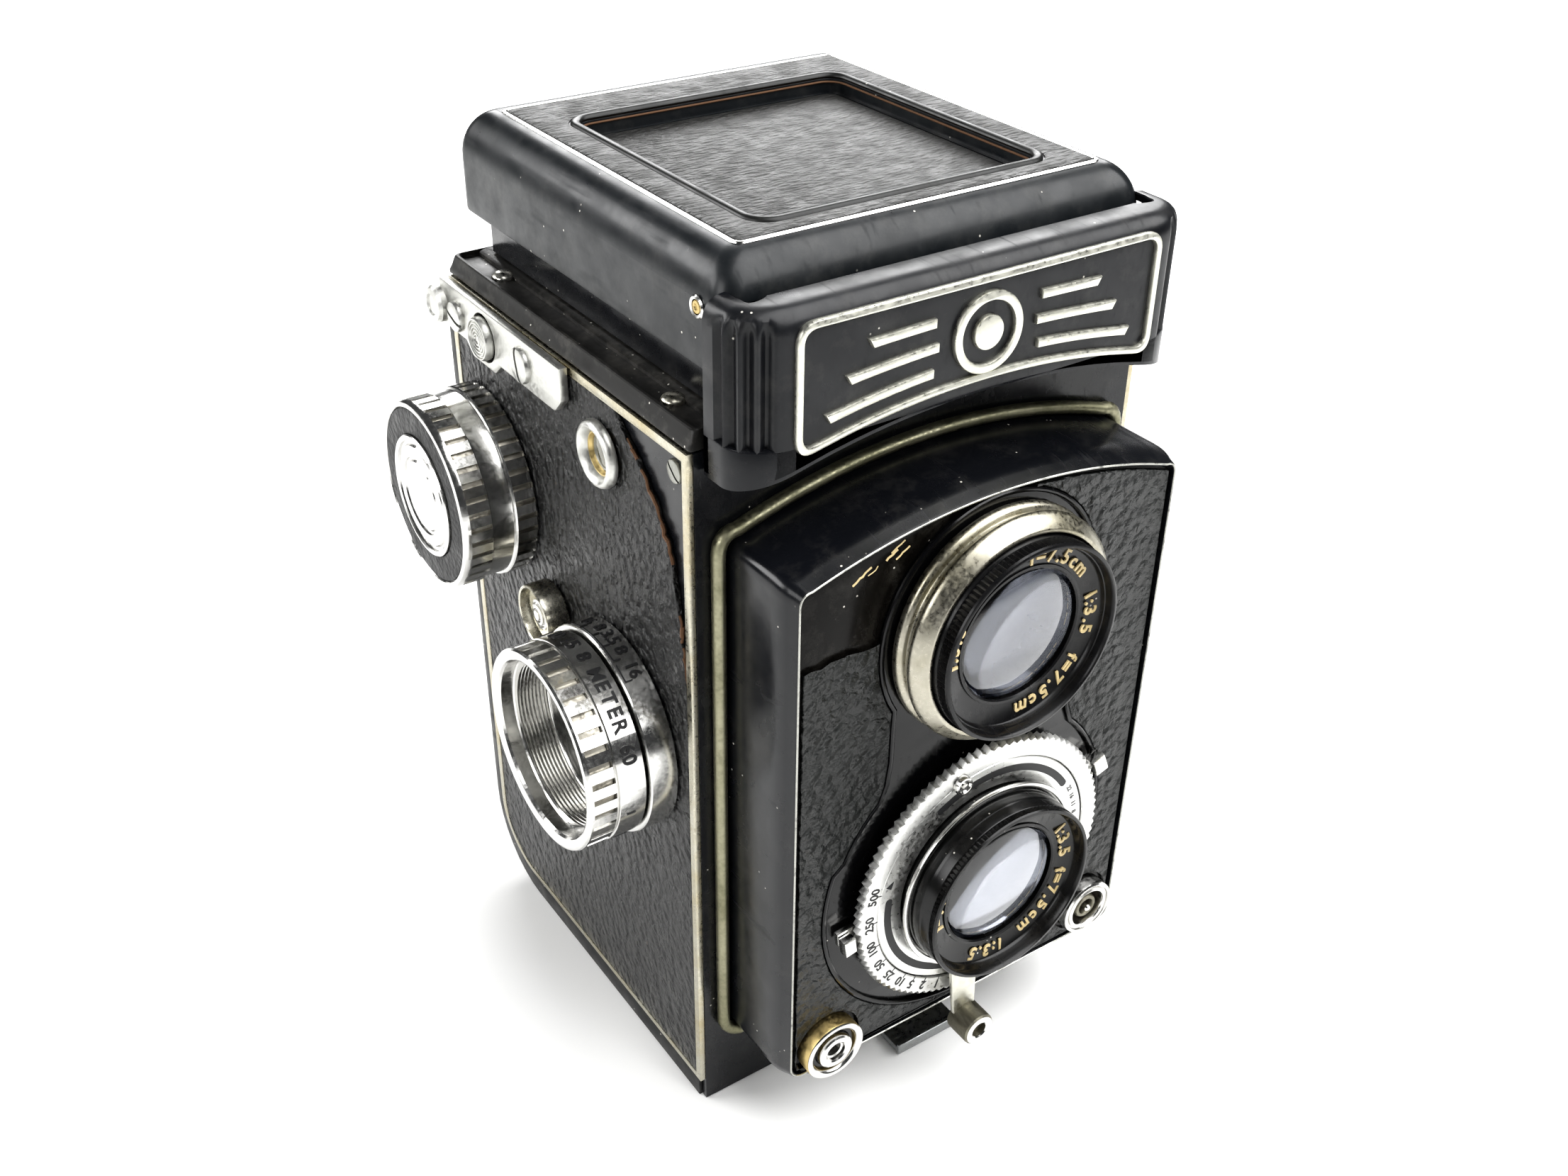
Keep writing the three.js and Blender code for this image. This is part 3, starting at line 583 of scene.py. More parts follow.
def leatherette(name, colour, grain, depth, dust=0.3, rough=0.55, direction=(1, 1, 1)):
    """Pebbled covering: raised cells with fine creases, greyed on the tops."""
    s = Shader(name, colour, rough, Specular_IOR_Level=0.5)
    warp = s.noise(grain * 0.8, 3, 0.6, direction)
    mapped = s.mapped(grain, direction)
    moved = s.node("ShaderNodeVectorMath", operation="ADD")
    s.tree.links.new(mapped, moved.inputs[0])
    s.tree.links.new(s.spread(warp, 0, 1, -0.7, 0.7), moved.inputs[1])
    cell = s.node("ShaderNodeTexVoronoi", {
        "Vector": moved.outputs[0], "Scale": 1.0, "Randomness": 0.95, "Smoothness": 0.6,
    }, feature="SMOOTH_F1").outputs["Distance"]
    height = s.maths("ADD", s.spread(cell, 0.1, 0.75, 1, 0), s.maths("MULTIPLY", s.noise(grain * 3, 4), 0.35))
    grey = s.maths("MULTIPLY", s.spread(height, 0.55, 1.25), s.spread(s.noise(0.05, 4), 0.3, 0.75, 0.2, 1.0))
    tone = s.mix(s.noise(0.08, 4), scaled(colour, 0.7), scaled(colour, 1.35))
    lifted = s.mix(s.maths("MULTIPLY", grey, 0.35 + dust), tone, scaled(colour, 2.2, 0.012))
    brown = s.spread(s.noise(0.35, 5, 0.7), 0.68, 0.74, 0, 0.5)
    s.link(s.mix(brown, lifted, (0.12, 0.075, 0.04)), "Base Color")
    s.link(s.spread(s.noise(0.3, 4), 0.3, 0.7, rough * 0.8, rough * 1.3), "Roughness")
    s.bump(height, 1.0, depth)
    return s.material


def glass(name, tint, rough=0.02):
    """Coated glass with faint haze."""
    s = Shader(name, tint, rough, Transmission_Weight=1.0, IOR=1.52, Coat_Weight=0.6, Coat_Roughness=0.03)
    s.link(s.spread(s.noise(0.25, 4, 0.6), 0.45, 0.8, rough, rough + 0.09), "Roughness")
    return s.material


def paint(name, colour, roughness=0.5):
    """A filled engraving or printed figure, slightly uneven."""
    s = Shader(name, colour, roughness)
    s.link(s.mix(s.noise(1.1, 4), scaled(colour, 0.7), scaled(colour, 1.15)), "Base Color")
    return s.material


BLACK = enamel("black_enamel", (0.005, 0.0055, 0.007), 0.24)
BOARD_BLACK = enamel("standard_enamel", (0.004, 0.0045, 0.006), 0.22, chips=0.35)
LENS_BLACK = enamel("lens_black", (0.003, 0.003, 0.0035), 0.28, chips=1.2, worn=(0.36, 0.27, 0.12))
CHROME = metal("chrome", (0.66, 0.655, 0.635), 0.17, grime=0.12)
PLATE = metal("bright_plate", (0.62, 0.61, 0.56), 0.28, grime=0.15, stain=(0.50, 0.47, 0.37))
CHAMPAGNE = metal("champagne_metal", (0.43, 0.41, 0.345), 0.32, grime=0.4, stain=(0.31, 0.29, 0.22))
DULL = metal("dull_metal", (0.34, 0.34, 0.31), 0.42, grime=0.4)
BRASS = metal("worn_brass", (0.55, 0.43, 0.2), 0.38, grime=0.5)
LEATHER = leatherette("side_leather", (0.008, 0.008, 0.008), 0.62, 0.75, rough=0.33, direction=(1, 1.15, 0.9))
BOARD_LEATHER = leatherette("board_leather", (0.006, 0.007, 0.0065), 0.62, 0.6, rough=0.36)
DIAL = paint("dial_enamel", (0.62, 0.56, 0.36))
IVORY = paint("ivory_fill", (0.78, 0.72, 0.55))
GOLD = paint("gold_fill", (0.70, 0.56, 0.30), 0.4)
INK = paint("ink", (0.015, 0.015, 0.016))
GLASS = glass("lens_glass", (0.92, 0.94, 1.0))
COUNTER_GLASS = glass("counter_glass", (0.45, 0.42, 0.25), 0.06)
MIRROR = Shader("silvered_glass", (0.86, 0.87, 0.88), 0.03, metallic=1.0).material
LID_BLACK = enamel("lid_enamel", (0.006, 0.0075, 0.009), 0.34, chips=0.1, dust=0.6)
PLATE_BLACK = enamel("nameplate_enamel", (0.004, 0.0045, 0.006), 0.34, chips=0.9, dust=0.6,
                     worn=(0.6, 0.58, 0.52))
RIM_BLACK = enamel("rim_enamel", (0.005, 0.0055, 0.005), 0.35, chips=0.2, dust=0.4)
FLANGE_BLACK = enamel("flange_enamel", (0.010, 0.0095, 0.0085), 0.42, chips=0.7, dust=2.2)
GLOSS_BLACK = enamel("gloss_enamel", (0.002, 0.002, 0.0025), 0.15, chips=0.1, dust=0.2)
SATIN_BLACK = enamel("satin_enamel", (0.006, 0.006, 0.006), 0.38, chips=0.5, dust=0.8)
BRASSED_BLACK = enamel("brassed_black", (0.003, 0.003, 0.003), 0.22, chips=2.2, worn=(0.20, 0.15, 0.06))
RESIDUE = enamel("residue", (0.003, 0.0025, 0.002), 0.22, chips=1.2, dust=0.7,
                 worn=(0.16, 0.09, 0.04), gloss=0.1)
WORN_EDGE = metal("worn_edge", (0.40, 0.40, 0.37), 0.3, grime=1.0, grime_colour=(0.01, 0.01, 0.01))
RELIEF_SILVER = metal("relief_silver", (0.66, 0.655, 0.58), 0.36, grime=0.55, grime_colour=(0.22, 0.18, 0.09))
TRIM = metal("edge_trim", (0.50, 0.48, 0.40), 0.30, grime=0.6, grime_colour=(0.20, 0.14, 0.07),
             stain=(0.42, 0.37, 0.25))
GUIDE = metal("guide_patina", (0.30, 0.29, 0.205), 0.44, grime=0.35, stain=(0.19, 0.185, 0.12))
DIAL_SILVER = metal("dial_silver", (0.72, 0.72, 0.70), 0.36, grime=0.1)
BRASSY = metal("brassy_chrome", (0.60, 0.58, 0.50), 0.24, grime=0.6, grime_colour=(0.24, 0.16, 0.05))
KNOB_BROWN = metal("knob_brown", (0.20, 0.19, 0.15), 0.45, grime=0.6)
ARM = metal("lever_arm", (0.62, 0.61, 0.54), 0.38, grime=0.3)
CATCH = metal("catch_grey", (0.34, 0.35, 0.35), 0.34, grime=0.3)
GRIME = paint("grime", (0.045, 0.034, 0.022), 0.7)
FRAY = paint("frayed_board", (0.12, 0.06, 0.028), 0.85)
TOP_LEATHER = leatherette("top_leather", (0.016, 0.016, 0.015), 0.8, 0.22, dust=0.5, rough=0.5,
                          direction=(0.7, 1.9, 1))
INLAY = leatherette("knob_inlay", (0.02, 0.02, 0.02), 1.0, 0.25)
SLOT_METAL = metal("slot_metal", (0.40, 0.38, 0.33), 0.42, grime=0.9, grime_colour=(0.05, 0.034, 0.018))
SATIN = metal("satin_metal", (0.60, 0.60, 0.57), 0.38, grime=0.0)


def coating(name, deep, haze, index):
    """A coated element: strong tinted reflection with patches of haze."""
    s = Shader(name, deep, 0.06, IOR=index)
    patch = s.spread(s.noise(0.13, 4, 0.65), 0.42, 0.7)
    s.link(s.mix(patch, deep, haze), "Base Color")
    s.link(s.spread(patch, 0, 1, 0.06, 0.3), "Roughness")
    return s.material


VIEW_COATING = coating("viewing_coating", (0.010, 0.014, 0.03), (0.03, 0.038, 0.055), 1.62)
TAKE_COATING = coating("taking_coating", (0.006, 0.009, 0.02), (0.02, 0.025, 0.045), 3.4)

FINISH = {
    "black_enamel": BLACK, "standard_enamel": BOARD_BLACK, "lens_black": LENS_BLACK,
    "leatherette": LEATHER, "chrome": CHROME, "bright_plate": PLATE, "champagne_metal": CHAMPAGNE,
    "dull_metal": DULL, "dial_enamel": DIAL, "lens_glass": GLASS, "silvered_glass": MIRROR,
}
for node, thing in frame["nodes"].items():
    thing.data.materials.clear()
    thing.data.materials.append(FINISH[SLOT[node]])


# ---- Hood -----------------------------------------------------------------------------------------
LID = {"half": 34.5, "front": -37.5, "rear": 36.8, "bottom": 127.0, "top": 142.0, "wall": 1.4}
LINE = (-29.3, 29.3, -32.6, 30.6)  # bright line round the top
RECESS = (-23.0, 23.0, -28.0, 20.5)


def grown(rect, by):
    return rect[0] - by, rect[1] + by, rect[2] - by, rect[3] + by


def lid_ring(inset, z, corner):
    half = LID["half"] - inset
    return rect_ring(-half, half, LID["front"] + inset, LID["rear"] - inset, corner, z, 10)


def make_lid():
    rings = [lid_ring(1.4, 127.0, 2.2), lid_ring(0.4, 127.0, 3.0), lid_ring(0.1, 127.12, 3.3)]
    rings += [lid_ring(0, z, 3.4) for z in (127.5, 131.0, 134.8)]
    for i in range(1, 15):
        turn = math.radians(90 * i / 14)
        inset = 5.2 * (1 - math.cos(turn))
        rings.append(lid_ring(inset, 135.2 + 6.8 * math.sin(turn), 3.4 - inset * 0.42))
    rings += [rect_ring(*grown(LINE, 0.1), 1.2, 142.0, 10), rect_ring(*grown(RECESS, 0.3), 3.2, 142.0, 10)]
    rings += [rect_ring(*RECESS, 3, 141.7, 10), rect_ring(*RECESS, 3, 139.6, 10)]
    opening = grown(tuple(flap_box()), 0.4)
    rings += [rect_ring(*opening, 2.4, 139.6, 10), rect_ring(*opening, 2.4, 138.4, 10)]
    rings += [lid_ring(6.2, 138.3, 1.2), lid_ring(2.4, 136.6, 2.2), lid_ring(1.4, 133.4, 2.2)]
    verts, faces = loft(rings, closed=True)
    lid = add_piece("lid_finished", verts, faces, "hood_lid", LID_BLACK, 40, ("lid_shell",))
    inner = LID["half"] - LID["wall"]
    front_gap = prism(box_outline(-inner + 0.8, inner - 0.8, LID["front"] - 1, -34), "up", 126, 136.6)
    bore = prism(circle_outline(1.3, *LID_HINGE, 24), "right", -36, 36)
    carve(lid, front_gap, bore, sharp=40)
    hinge_y, hinge_z = MAGNIFIER_HINGE
    turns = [math.radians(t) for t in range(15, 180, 15)]
    ear = [(-4.4, 140), (-4.4, hinge_z)]
    ear += [(hinge_y - 2 * math.cos(turn), hinge_z - 2 * math.sin(turn)) for turn in turns]
    ear += [(-0.4, hinge_z), (-0.4, 140)]
    for side in ("left", "right"):
        slab("magnifier_ear_" + side, [ear, circle_outline(1.2, *MAGNIFIER_HINGE, 24)], side, 23.95, 24.8,
             "hood_lid", "black_enamel", BLACK)


def flap_box():
    lo, hi = low("sports_finder_flap"), high("sports_finder_flap")
    return lo.x, hi.x, lo.y, hi.y


def make_lid_top():
    tube("lid_bright_line", rect_ring(*LINE, 1.2, 142.0, 10), 0.34, "hood_lid", CHROME,
         around=8, flat=0.75, out=(0, 0, 1))
    border = [
        rect_ring(*grown(LINE, -0.45), 1.0, 141.9, 10), rect_ring(*grown(LINE, -0.5), 1.0, 142.2, 10),
        rect_ring(*grown(LINE, -0.9), 0.9, 142.32, 10), rect_ring(*grown(RECESS, 1.75), 3.9, 142.32, 10),
        rect_ring(*grown(RECESS, 1.4), 3.8, 142.2, 10), rect_ring(*grown(RECESS, 1.35), 3.8, 141.9, 10),
    ]
    verts, faces = loft(border)
    add_piece("lid_leather", verts, faces, "hood_lid", TOP_LEATHER, 60)
    tube("lid_recess_rim", rect_ring(*grown(RECESS, 0.6), 3.4, 142.1, 10), 0.72, "hood_lid",
         RIM_BLACK, around=12, flat=0.75, out=(0, 0, 1))
    tube("lid_recess_fray", rect_ring(*grown(RECESS, -0.1), 3.0, 141.3, 10), 0.17, "hood_lid",
         FRAY, around=6, out=(0, 0, 1))
    x0, x1, y0, y1 = flap_box()
    slab("finder_flap_leather", [flat(rect_ring(x0, x1, y0, y1, 2.0, 0, 8))], "up", 138.4, 139.75,
         "sports_flap", "leatherette", TOP_LEATHER, 0.3, 60, ("sports_finder_flap",))


def make_hood_pins():
    for side in ("left", "right"):
        node = "lid_hinge_pin_" + side
        turned(node + "_brass", [(0, 29.5), (0.95, 29.5), (0.95, 34.5), (0.8, 34.75), (0.45, 34.8),
                                 (0.3, 34.6), (0, 34.55)],
               side, *LID_HINGE, "camera_body", "champagne_metal", BRASS, 24, replaces=(node,))
        turned(node + "_eyelet", [(1.0, 34.3), (1.5, 34.5), (1.55, 34.65), (1.35, 34.85), (1.0, 34.75),
                                  (1.0, 34.3)],
               side, *LID_HINGE, "camera_body", "chrome", CHROME, 24)


LEDGE = {"half": 38.0, "rear": 35.3}


def make_flange():
    def ring(inset, z, corner):
        half = LEDGE["half"] - inset
        return rect_ring(-half, half, FRONT + inset * 0.4, LEDGE["rear"] - inset * 0.4, corner, z, 5)

    rings = [ring(0, 117.7, 0.5), ring(0, 118.1, 0.5), ring(0.35, 118.8, 0.6), ring(0.6, 119.7, 0.8)]
    rings += [ring(0.75, 120.2, 1), ring(0.95, 120.35, 1), ring(1.35, 120.35, 1), ring(1.55, 120.15, 1)]
    rings += [ring(1.7, 119.75, 1), ring(2.2, 119.6, 1)]
    rings += [rect_ring(-33.2, 33.2, -30.6, 34.9, 1, z, 5) for z in (119.6, 120.1)]
    rings += [rect_ring(-32.7, 32.7, -30.2, 34.6, 1, 120.35, 5)]
    rings += [rect_ring(-30, 30, -28, 31, 1, z, 5) for z in (120.3, 117.7)]
    verts, faces = loft(rings, closed=True)
    add_piece("flange_finished", verts, faces, "camera_body", FLANGE_BLACK, 30,
              ("top_flange",))
    for x in (-34.1, 34.1):
        for y in (24.2, -25.0):
            dome = [(0, 119.4), (1.75, 119.4), (1.75, 119.8), (1.55, 120.15), (1.0, 120.45), (0, 120.55)]
            turned(f"ledge_screw_{'l' if x < 0 else 'r'}{int(y + 30)}", dome, "up", x, y,
                   "camera_body", "chrome", PLATE, 32)


# ---- Nameplate ------------------------------------------------------------------------------------
NAMEPLATE = {
    "half": 36.4, "flat": 29.0, "bend": (7.4, 5.7), "bend_y": -39.6, "rear": -36.0, "arch": 120.0,
    "crown": 120.2, "foot": 120.4,
}
FRAME = {"half": 29.4, "top": 136.4, "rise": 1.9, "corner": 3.0}


def arch_height(x):
    radius = NAMEPLATE["arch"]
    return NAMEPLATE["crown"] - radius + math.sqrt(radius * radius - x * x)


def nameplate_plan():
    """Points (x, y, nx, ny) from the left end to the right."""
    bend_x, bend_y = NAMEPLATE["bend"]
    left = [(-NAMEPLATE["half"], y, -1, 0) for y in (NAMEPLATE["rear"], -37.0, -38.2, -39.0)]
    steps = 40
    for i in range(steps + 1):
        turn = math.radians(180 + 90 * i / steps)
        nx, ny = math.cos(turn) / bend_x, math.sin(turn) / bend_y
        size = math.hypot(nx, ny)
        left.append((-NAMEPLATE["flat"] + bend_x * math.cos(turn),
                     NAMEPLATE["bend_y"] + bend_y * math.sin(turn),
                     nx / size, ny / size))
    right = [(-x, y, -nx, ny) for x, y, nx, ny in reversed(left)]
    face_y = NAMEPLATE["bend_y"] - bend_y
    middle_part = [(x, face_y, 0, -1) for x in range(-24, 25, 4)]
    return left + middle_part + right


def flute(path_length, z, z_low):
    """Depth of the four upright grooves at each end."""
    start, pitch, count = 2.0, 2.3, 4
    at = (path_length - start) / pitch
    if not 0 < at < count:
        return 0.0
    wave = math.sin(math.pi * (at % 1.0)) ** 2
    ends = min(1.0, max(0.0, (z - z_low - 0.7) / 0.8), max(0.0, (136.9 - z) / 1.6))
    return 0.95 * wave * max(0.0, min(1.0, ends))


def make_nameplate():
    plan = nameplate_plan()
    lengths = [0.0]
    for before, after in zip(plan, plan[1:]):
        lengths.append(lengths[-1] + math.hypot(after[0] - before[0], after[1] - before[1]))
    total = lengths[-1]
    rings = []
    for (x, y, nx, ny), length in zip(plan, lengths):
        z_low = arch_height(x)
        outer = [(0.55, z_low), (0.15, z_low + 0.15), (0, z_low + 0.5)]
        outer += [(0, z_low + 0.5 + (134.8 - z_low - 0.5) * i / 14) for i in range(1, 15)]
        outer += [(0.06, 135.5), (0.25, 136.2), (0.6, 136.9), (1.1, 137.4), (1.8, 137.8), (2.6, 137.95),
                  (3.2, 138.0)]
        reach = 3.5 + 2.2 * min(1, max(0, (35.4 - abs(x)) / 5)) if y < -38.5 else 3.3
        outer += [(reach, 138.0), (reach + 0.15, 137.8), (reach + 0.1, 136.9), (2.2, 136.8), (1.6, 136.2),
                  (1.6, z_low)]
        near = min(length, total - length)
        ring = []
        for inset, z in outer:
            deep = flute(near, z, z_low) if inset < 1.3 else 0.0
            ring.append((x - nx * (inset + deep), y - ny * (inset + deep), z))
        rings.append(ring)
    verts, faces = loft(rings, cap_first=True, cap_last=True)
    add_piece("nameplate_finished", verts, faces, "camera_body", PLATE_BLACK, 38,
              ("nameplate",))
    outline = [(x, y) for x, y, _, _ in plan]
    foot = slab("nameplate_foot", [outline], "up", 113.0, NAMEPLATE["foot"], "camera_body", "black_enamel",
                BLACK, 0.3)
    crown = circle_outline(NAMEPLATE["arch"], 0, NAMEPLATE["crown"] - NAMEPLATE["arch"], 256)
    carve(foot, prism(crown, "front", 30, 50))


def frame_outline(inset):
    """The raised frame: square at the top and following the arch at the foot."""
    half, top = FRAME["half"] - inset, FRAME["top"] - inset
    corner = FRAME["corner"] - inset

    def foot(x):
        return arch_height(x) + FRAME["rise"] + inset

    def bend(p, q, r):
        return [
            tuple((1 - t) ** 2 * p[k] + 2 * t * (1 - t) * q[k] + t * t * r[k] for k in (0, 1))
            for t in (i / 8 for i in range(9))
        ]

    low_z = foot(half)
    points = bend((-half, low_z + corner), (-half, low_z), (-half + corner, foot(half - corner)))
    points += [(x, foot(x)) for x in [-22 + 2 * i for i in range(23)]]
    points += bend((half - corner, foot(half - corner)), (half, low_z), (half, low_z + corner))
    points += bend((half, top - corner), (half, top), (half - corner, top))
    points += bend((-half + corner, top), (-half, top), (-half, top - corner))
    return points


def make_nameplate_relief():
    face = -(NAMEPLATE["bend_y"] - NAMEPLATE["bend"][1])
    slab("nameplate_frame", [frame_outline(0), frame_outline(1.0)], "front", face - 0.4, face + 0.7,
         "camera_body", "bright_plate", RELIEF_SILVER, 0.3)
    middle_z = 128.6
    rings = [circle_outline(5.6, 0, middle_z), circle_outline(4.3, 0, middle_z)]
    slab("motif_ring", rings, "front", face - 0.4, face + 0.7, "camera_body", "bright_plate", RELIEF_SILVER,
         0.25)
    slab("motif_core", [circle_outline(2.4, 0, middle_z, 40)], "front", face - 0.4, face + 0.7,
         "camera_body", "bright_plate", RELIEF_SILVER, 0.3)
    for side in (-1, 1):
        for row, (start, end) in enumerate(((8.6, 24.4), (8.0, 21.4), (8.6, 18.2))):
            def centre(x, row=row):
                drop = (arch_height(x) - arch_height(0)) * (0.9 - 0.3 * row)
                return middle_z - 3.3 + 3.3 * row + drop

            xs = [start + (end - start) * i / 10 for i in range(11)]
            lower = [(side * x, centre(x) - 0.62) for x in xs]
            upper = [(side * (x + (0.7 if x == end else 0)), centre(x) + 0.62) for x in reversed(xs)]
            slab(f"motif_line_{'l' if side < 0 else 'r'}{row}", [lower + upper], "front", face - 0.4,
                 face + 0.65, "camera_body", "bright_plate", RELIEF_SILVER, 0.22)


# ---- Body -----------------------------------------------------------------------------------------
REAR, HEEL = 37.3, 15.0


def heel_outline(front, in_bottom, in_rear, top, steps=20):
    points = [(front, in_bottom)]
    for i in range(steps + 1):
        turn = math.radians(-90 + 90 * i / steps)
        y = REAR - HEEL + (HEEL - in_rear) * math.cos(turn)
        points.append((y, HEEL + (HEEL - in_bottom) * math.sin(turn)))
    return points + [(REAR - in_rear, top), (front, top)]


TORN = [(-16.4, 115.9), (-17.1, 114.9), (-22.6, 110.4), (-26.9, 106.1), (-29.8, 101.5), (-31.4, 95.0),
        (-32.6, 88.8), (-33.7, 80.0)]


def ragged(path, step=0.8, depth=0.28):
    """The path broken into short steps with a torn look."""
    points = [path[0]]
    for (y0, z0), (y1, z1) in zip(path, path[1:]):
        count = max(1, round(math.hypot(y1 - y0, z1 - z0) / step))
        for i in range(1, count + 1):
            push = random.uniform(-depth, depth) if i < count else 0.0
            points.append((y0 + (y1 - y0) * i / count + push, z0 + (z1 - z0) * i / count - push * 0.5))
    return points


def make_side_covering():
    torn = ragged(TORN)
    left = heel_outline(-33.7, 5.6, 4.3, 115.9)[:-1] + torn
    holes = [
        circle_outline(3.6, WIND.y, WIND.z, 32), circle_outline(4.2, FOCUS.y, FOCUS.z, 32),
        circle_outline(3.9, COUNTER.y, COUNTER.z, 32), circle_outline(3.6, RELEASE.y, RELEASE.z, 32),
        circle_outline(4.1, RESET.y, RESET.z - 0.3, 24),
    ]
    slab("covering_left", [left] + holes, "left", 37.55, SIDE, "camera_body", "leatherette", LEATHER, 0.14,
         50, ("side_leather_left",))
    slab("covering_right", [heel_outline(-33.7, 5.6, 4.3, 115.9), circle_outline(3.6, WIND.y, WIND.z, 32),
                            circle_outline(3.6, SUPPLY.y, SUPPLY.z, 32)],
         "right", 37.55, SIDE, "camera_body", "leatherette", LEATHER, 0.14, 50, ("side_leather_right",))
    for i in range(0, len(torn) - 6, 2):
        if random.random() < 0.5:
            strand = [(-38.05 - random.uniform(0, 0.2), y, z) for y, z in torn[i:i + random.randint(3, 6)]]
            tube(f"torn_edge_{i}", strand, random.uniform(0.14, 0.34), "camera_body", FRAY,
                 closed=False, around=6, out=(-1, 0, 0))


def make_trim():
    outlines = [heel_outline(-35.2, 4.5, 2.8, 117.4), heel_outline(-33.9, 5.5, 4.2, 116.0)[::-1]]
    for side in ("left", "right"):
        slab("edge_trim_" + side, outlines, side, 37.5, 38.5, "camera_body", "bright_plate", TRIM, 0.12)


def slotted(name, towards, a, b, base, radius, height, turn, body, slot, material):
    """A pan head screw with its slot."""
    top = base + height
    profile = [
        (0, base), (radius, base), (radius, top - height * 0.55), (radius * 0.93, top - height * 0.25),
        (radius * 0.75, top - height * 0.08), (radius * 0.4, top), (0, top),
    ]
    screw = turned(name, profile, towards, a, b, body, slot, material, 40)
    cos, sin = math.cos(math.radians(turn)), math.sin(math.radians(turn))
    corners = box_outline(-radius - 1, radius + 1, -radius * 0.11, radius * 0.11)
    slot_outline = [(a + u * cos - v * sin, b + u * sin + v * cos) for u, v in corners]
    carve(screw, prism(slot_outline, towards, top - height * 0.5, top + 1))
    turned(name + "_floor", [(0, base), (radius * 0.92, base), (radius * 0.92, top - height * 0.48),
                             (0, top - height * 0.48)], towards, a, b, body, slot, INK, 24)


def make_lugs():
    edge_y, face = 38.7, 40.1
    outline = [(-4.6, 117.4), (-4.6, 112.6), (-4.3, 112.1), (-2.8, 110.5), (-2.2, 110.2), (14.4, 110.2),
               (16.4, 108.5), (16.9, 108.4), (23.7, 108.4), (24.2, 108.5), (26.2, 110.2), (34.6, 110.2),
               (34.6, 117.4)]
    for side in ("left", "right"):
        holes = [circle_outline(3.7, RESET.y, RESET.z, 40)] if side == "left" else []
        slab("lug_plate_finished_" + side, [outline] + holes, side, edge_y, face, "camera_body", "chrome",
             SATIN, 0.3, replaces=("lug_plate_" + side,))
        for end, y, z, radius, turn in (("front", 6.9, 113.6, 2.7, 75), ("rear", 28.6, 113.2, 2.4, 20)):
            slotted(f"lug_screw_{end}_{side}", side, y, z, face, radius, 1.0, turn, "camera_body", "chrome",
                    SATIN)
    finished(turned, "lug_stud", [(0, 40.4), (2.9, 40.4), (2.9, 41.3), (2.5, 41.8), (1.7, 42.0),
                                  (1.5, 41.7), (0, 41.7)], "left", 33.9, 113.6, finish=SATIN, around=48)
    button = [(0, 36.4), (2, 36.4), (2, 39.9), (3.3, 39.9), (3.3, 40.8)]
    for i in range(5):
        r = 3.1 - i * 0.55
        button += [(r, 41.15), (r - 0.2, 41.2), (r - 0.32, 40.95), (r - 0.45, 40.95)]
    finished(turned, "reset_button", button + [(0.2, 41.15), (0, 41.2)], *RESET_AXIS, finish=SATIN,
             node="counter_reset_button", around=48)


def make_left_fittings():
    bezel = [(3.3, 38.75), (4.9, 38.75), (4.95, 39.1), (4.8, 39.7), (4.45, 40.1), (4.1, 40.2), (3.75, 40.0),
             (3.3, 39.3), (3.15, 38.9), (3.3, 38.75)]
    finished(turned, "counter_bezel", bezel, *COUNTER_AXIS, finish=SATIN, around=64)
    turned("counter_seat", [(2.55, 37.9), (3.15, 38.6), (3.2, 39.0), (3.0, 39.0), (2.5, 38.2), (2.55, 37.9)],
           *COUNTER_AXIS, "camera_body", "champagne_metal", BRASS, 48)
    window = [(0, 37.9), (3.05, 37.9), (3.05, 38.4), (2.4, 38.7), (1.3, 38.85), (0, 38.9)]
    finished(turned, "counter_glass", window, *COUNTER_AXIS, finish=COUNTER_GLASS, around=48, sharp=60)
    numbers = [(str(n), 2.0, on_ring(*DIAL_AXIS, 36.5, 5.4, 90 - 30 * (n - 3))) for n in range(1, 13)]
    figures("counter_numbers", numbers, "counter_dial", INK)
    collar = [(2.8, 40.6), (2.8, 38.75), (5.0, 38.75), (5.1, 39.0), (5.1, 42.2), (5.0, 42.5), (4.8, 42.6),
              (4.6, 42.45), (4.5, 42.0), (4.35, 40.9), (2.8, 40.6)]
    finished(turned, "release_collar", collar, *RELEASE_AXIS, finish=BRASSY, around=64)
    button = [(0, 35), (2.6, 35), (2.6, 41.2), (2.45, 41.5), (2.1, 41.55), (1.95, 41.3), (1.75, 41.3),
              (1.65, 41.75), (1.2, 41.85), (1.1, 41.6), (0.9, 41.6), (0.8, 42.0), (0, 42.1)]
    finished(turned, "film_release", button, *RELEASE_AXIS, finish=CHROME, node="film_release_button",
             around=48)
    slotted("hidden_screw", "left", -31.0, 113.1, 37.5, 1.7, 0.6, 40, "camera_body", "dull_metal", DULL)


# ---- Knobs ----------------------------------------------------------------------------------------
SLOTS = ((0, 0), (0.64, 0), (0.68, 1), (0.95, 1))


